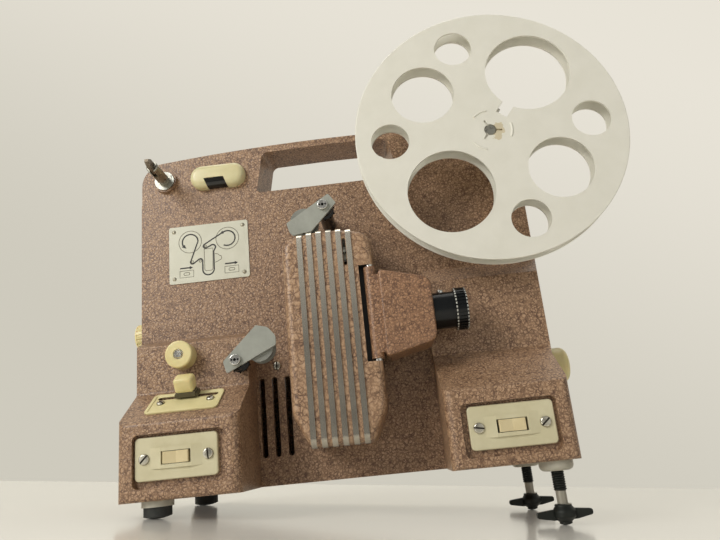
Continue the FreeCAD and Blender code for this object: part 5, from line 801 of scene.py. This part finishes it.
# Threading diagram: printed metal sheet held by four rivets. The film's path
# is a heavy dark line, the reels, the housing and the switches are thin grey
# ones, and an arrow beside each switch shows the way it is pushed.
FACING_FRONT = Matrix.Rotation(math.radians(90), 4, "X")
PLATE_MIDDLE = Vector((-0.0869, -0.0006, 0.1593))
FILM_LINE_MM = 1.0
THIN_LINE_MM = 0.46
INK_FLATNESS = 0.12
ARROW_THICK = 0.00004
LEFT_REEL_MM, RIGHT_REEL_MM = (-13.1, 8.9), (13.4, 8.7)
REEL_OUTLINE_MM = 8.1
LEFT_ROLLERS_MM = ((-11.7, -6.0), (-6.2, -6.1))
TOP_ROLLER_MM = (-2.3, 4.6)
SWITCH_LEFTS_MM = (-20.8, 10.9)
SWITCH_WIDE_MM, SWITCH_TOP_MM, SWITCH_LOW_MM = 9.7, -12.0, -16.8
ROCKER_FROM_MM, ROCKER_TO_MM, ROCKER_UP_MM, ROCKER_ROUND_MM = 3.7, 6.0, -14.3, 0.9
STROKE_LEFTS_MM = (("left", -20.6), ("right", 11.1))
STROKE_UP_MM, STROKE_LONG_MM, STROKE_TIP_MM = -10.0, 7.4, 9.2


def round_a(centre, reach, start, end):
    """Points in millimetres on an arc about a centre, from one angle in degrees to another."""
    steps = max(2, round(abs(end - start) / 12))
    angles = [math.radians(start + (end - start) * step / steps) for step in range(steps + 1)]
    return [(centre[0] + reach * math.cos(a), centre[1] + reach * math.sin(a)) for a in angles]


def print_lines(name, runs, width_mm, ink):
    """Print lines on the plate: each run is its points in millimetres from the plate's middle."""
    drawn = bpy.data.curves.new(name, "CURVE")
    drawn.dimensions = "3D"
    drawn.bevel_depth = width_mm / 2000
    drawn.bevel_resolution = 2
    drawn.use_fill_caps = True
    for run in runs:
        line = drawn.splines.new("POLY")
        line.points.add(len(run) - 1)
        for point, (right, up) in zip(line.points, run):
            point.co = (right / 1000, up / 1000, 0, 1)
    piece = bpy.data.objects.new(name, drawn)
    scene.collection.objects.link(piece)
    bpy.ops.object.select_all(action="DESELECT")
    piece.select_set(True)
    bpy.context.view_layer.objects.active = piece
    bpy.ops.object.convert(target="MESH")
    flat = Matrix.Diagonal((1, 1, INK_FLATNESS, 1))
    settle(active(name), MACHINE @ Matrix.Translation(PLATE_MIDDLE) @ FACING_FRONT @ flat, "body", ink)


# Printed label sheet: pale grey, with a thin clear coat's half gloss.
dress(moulded("printed_label_sheet", "#CFCEBE", "#C6C5B3", 0.35, grain_mm=SATIN_GRAIN_MM,
              depth=0.03), "diagram_plate")
# Nickelled rivets: warm grey, dull from handling.
dress(plated("dulled_rivet_nickel", "#A5A08F", 0.4), "diagram_rivets")
# Printing ink: flat, black for the film and brown-grey for the rest.
black_ink = moulded("black_printing_ink", "#171614", "#211F1B", 0.5)
grey_ink = moulded("grey_printing_ink", "#66624F", "#5A5645", 0.5)

film_out = (round_a(LEFT_REEL_MM, 5.6, 215, 0) + [(-12.9, -5.4)]
            + round_a(LEFT_ROLLERS_MM[0], 1.5, 170, 300) + round_a(LEFT_ROLLERS_MM[1], 1.7, 120, 0)
            + round_a((-0.6, -12.6), 4.0, 180, 360) + [(3.5, 0.2)]
            + round_a((2.9, 3.2), 1.9, -15, 125) + round_a(TOP_ROLLER_MM, 1.5, 300, 125)
            + [(8.6, 12.4)])
film_back = round_a(RIGHT_REEL_MM, 5.5, 120, -120)
print_lines("film_path_print", [film_out, film_back], FILM_LINE_MM, black_ink)
rims = [round_a(centre, REEL_OUTLINE_MM, 0, 360) for centre in (LEFT_REEL_MM, RIGHT_REEL_MM)]
rollers = [round_a(centre, 0.8, 0, 360) for centre in LEFT_ROLLERS_MM]
rollers.append(round_a(TOP_ROLLER_MM, 0.7, 0, 360))
column = [(-3.3, 2.5), (2.9, 2.5), (2.5, -12.6), (1.5, -13.6), (-2.2, -13.6), (-3.2, -12.6),
          (-3.3, 2.5)]
lens_shape = ([(4.3, -1.8), (6.2, -2.2), (7.6, -3.5)] + round_a((7.0, -5.0), 1.9, 45, -45)
              + [(6.2, -7.4), (4.3, -8.1)])
switches = []
for left in SWITCH_LEFTS_MM:
    right = left + SWITCH_WIDE_MM
    switches.append([(left, SWITCH_TOP_MM), (right, SWITCH_TOP_MM), (right, SWITCH_LOW_MM),
                     (left, SWITCH_LOW_MM), (left, SWITCH_TOP_MM)])
    rocker_ends = [(left + along, ROCKER_UP_MM) for along in (ROCKER_FROM_MM, ROCKER_TO_MM)]
    switches.append(round_a(rocker_ends[0], ROCKER_ROUND_MM, 90, 270)
                    + round_a(rocker_ends[1], ROCKER_ROUND_MM, -90, 90)
                    + [(left + ROCKER_FROM_MM, ROCKER_UP_MM + ROCKER_ROUND_MM)])
print_lines("outline_print", rims + rollers + [column, lens_shape] + switches, THIN_LINE_MM, grey_ink)


def copy_of(pattern, name):
    """Another piece of the same shape, with a mesh of its own."""
    piece = pattern.copy()
    piece.data = pattern.data.copy()
    piece.name = name
    piece.data.name = name
    scene.collection.objects.link(piece)
    return piece


bpy.ops.mesh.primitive_circle_add(vertices=3, radius=1, fill_type="NGON")
arrowhead = active("arrowhead")
bpy.ops.object.mode_set(mode="EDIT")
bpy.ops.mesh.select_all(action="SELECT")
bpy.ops.mesh.extrude_region_move(TRANSFORM_OT_translate={"value": (0, 0, 1)})
bpy.ops.mesh.normals_make_consistent(inside=False)
bpy.ops.object.mode_set(mode="OBJECT")


def print_arrow(name, tip, angle, long_mm, wide_mm):
    """Solid printed arrowhead with its tip at a point on the diagram plate."""
    sized = (Matrix.Diagonal((long_mm / 1500, wide_mm / 1732, ARROW_THICK, 1))
             @ Matrix.Translation((-1, 0, 0)) @ Matrix.Rotation(math.radians(-90), 4, "Z"))
    aimed = (Matrix.Translation((tip[0] / 1000, tip[1] / 1000, 0))
             @ Matrix.Rotation(math.radians(angle), 4, "Z"))
    settle(copy_of(arrowhead, name),
           MACHINE @ Matrix.Translation(PLATE_MIDDLE) @ FACING_FRONT @ aimed @ sized, "body", black_ink)


print_arrow("left_reel_arrow", tip=(-15.8, 4.1), angle=-45, long_mm=3.2, wide_mm=2.6)
print_arrow("right_reel_arrow", tip=(7.7, 11.9), angle=209, long_mm=3.4, wide_mm=2.4)
for side, left in STROKE_LEFTS_MM:
    stroke = [(left, STROKE_UP_MM), (left + STROKE_LONG_MM, STROKE_UP_MM)]
    print_lines(f"{side}_switch_stroke", [stroke], FILM_LINE_MM, black_ink)
    print_arrow(f"{side}_switch_arrow", tip=(left + STROKE_TIP_MM, STROKE_UP_MM), angle=0,
                long_mm=2.4, wide_mm=2.4)
bpy.data.objects.remove(arrowhead)


# Plate screws: turned steel, nickel plated and a little dulled, with a raised
# oval head and a sawn slot. They hold the switch plates, the lever plate and
# the casting's lower section, and each has stopped at its own angle.
HEAD_HIGH_MM = 1.25
HEAD_ROUNDING_MM = HEAD_HIGH_MM * 0.7
HEAD_SIDES = 36
SAW_WIDE_MM = 0.95
SAW_DEEP_MM = 0.7
SAW_LONG_IN_RADII = 2.2
SHADE_LINE_MM = 0.5
SCREW_SEATS = (
    (3.0, ((FACING_FRONT, (-112.8, -51.3, 22.6), 45), (FACING_FRONT, (-76.2, -51.3, 22.6), 95),
           (FACING_FRONT, (75.5, -51.3, 21.1), -10), (FACING_FRONT, (112.1, -51.3, 21.1), 40))),
    (2.8, ((FACING_FRONT, (-43.9, 0.0, 74.8), 90),)),
    (2.4, ((BOX_SLOPE, (-109.3, 22.0, LEVER_FLOOR_MM), -40),
           (BOX_SLOPE, (-78.9, 22.0, LEVER_FLOOR_MM), 40))),
)


def slotted_head(radius_mm):
    """Raised screw head standing on the origin and facing up; the painted shade in its slot and round
    its sides takes the second finish.
    """
    bpy.ops.mesh.primitive_cylinder_add(vertices=HEAD_SIDES, radius=radius_mm / 1000,
                                        depth=HEAD_HIGH_MM / 1000,
                                        location=(0, 0, HEAD_HIGH_MM / 2000))
    bpy.ops.object.transform_apply(location=True)
    head = active("screw_head")
    half = HEAD_HIGH_MM / 2000
    round_edges(head, HEAD_ROUNDING_MM / 1000, 5, lambda a, b: a.z > half and b.z > half)
    saw = block("saw", (0, 0, HEAD_HIGH_MM / 1000),
                (radius_mm * SAW_LONG_IN_RADII / 1000, SAW_WIDE_MM / 1000, 2 * SAW_DEEP_MM / 1000))
    finish_with(head, "BOOLEAN", operation="DIFFERENCE", object=saw, solver="EXACT")
    bpy.data.objects.remove(saw)
    smooth(head, 35)
    # Painted shade: the slot floor and the head's sides take the dark second finish.
    for face in head.data.polygons:
        floor = (abs(face.center.y) < SAW_WIDE_MM / 2000
                 and face.center.z < (HEAD_HIGH_MM - SHADE_LINE_MM) / 1000)
        face.material_index = 1 if floor or abs(face.normal.z) < 0.1 else 0
    return head


# Worn nickel: warm white metal with a broken gloss.
worn_nickel = plated("worn_nickel_plate", "#C4C0B2", 0.28)
dress(worn_nickel, "plate_screws", "rear_housing_screws")
# Painted shade: dull brown-black in the slot and round the head, where the shade falls.
slot_and_foot_shade = new_finish("painted_shade_round_and_in_the_slot", Base_Color=tint("#3A342B"), Roughness=0.8)[0]
made = 0
for radius_mm, seats in SCREW_SEATS:
    screw_head = slotted_head(radius_mm)
    for facing, seat_mm, turn in seats:
        made += 1
        seat = Matrix.Translation(Vector(seat_mm) / 1000)
        place = MACHINE @ BOX_SLOPE @ seat if facing is BOX_SLOPE else MACHINE @ seat @ facing
        head = copy_of(screw_head, f"plate_screw_{made}")
        settle(head, place @ Matrix.Rotation(math.radians(turn), 4, "Z"), "body", worn_nickel,
               slot_and_foot_shade)
        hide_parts("plate_screws")
    bpy.data.objects.remove(screw_head)


# Supply reel: two flanges and a hub of pale grey enamelled sheet, pressed
# together and slipped on the spindle. It has gone slightly warm with age, and
# beside the bore it is torn where a paper ring was.
PAPER_FROM_BORE = Vector((0.0052, 0, -0.0012))
PAPER_STRETCH = (1.5, 0.0, 0.85)
PAPER_EDGE = (0.0052, 0.0056)
PAPER_RAGGED = 0.016
PAPER_RAGGED_MM = 3.03
PAPER_COVER = 0.6
PAPER_BROWN = "#B9A678"
REEL_GRAIN_MM = 0.909

# Stoved enamel: pale and even with a soft gloss, and brown paper fibres that
# still stick to it in a ragged patch.
reel_enamel = moulded("pale_reel_enamel", "#DEDCD1", "#D9D7CB", 0.42, grain_mm=REEL_GRAIN_MM,
                      depth=0.06)
reel_tree = reel_enamel.node_tree
reel_place = add(reel_tree, "ShaderNodeTexCoord").outputs["Object"]
ragged = add(reel_tree, "ShaderNodeTexNoise", {"Vector": reel_place, "Scale": 1000 / PAPER_RAGGED_MM,
                                               "Detail": 4.0})
hub_low, hub_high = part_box("reel_hub")
from_patch = add(reel_tree, "ShaderNodeVectorMath",
                 {0: reel_place, 1: (hub_low + hub_high) / 2 + PAPER_FROM_BORE}, operation="SUBTRACT")
from_patch = add(reel_tree, "ShaderNodeVectorMath", {0: from_patch, 1: PAPER_STRETCH},
                 operation="MULTIPLY")
from_patch = add(reel_tree, "ShaderNodeVectorMath", {0: from_patch}, operation="LENGTH")
tear = add(reel_tree, "ShaderNodeMath", {0: ragged, 1: PAPER_RAGGED, 2: -PAPER_RAGGED / 2},
           operation="MULTIPLY_ADD")
tear = add(reel_tree, "ShaderNodeMath", {0: from_patch.outputs["Value"], 1: tear}, operation="ADD")
patch = add(reel_tree, "ShaderNodeMapRange",
            {"Value": tear, "From Min": PAPER_EDGE[0], "From Max": PAPER_EDGE[1],
             "To Min": PAPER_COVER, "To Max": 0.0})
coloured_over(reel_enamel, patch, PAPER_BROWN)
dress(reel_enamel, "reel_front_flange", "reel_rear_flange", "reel_hub")
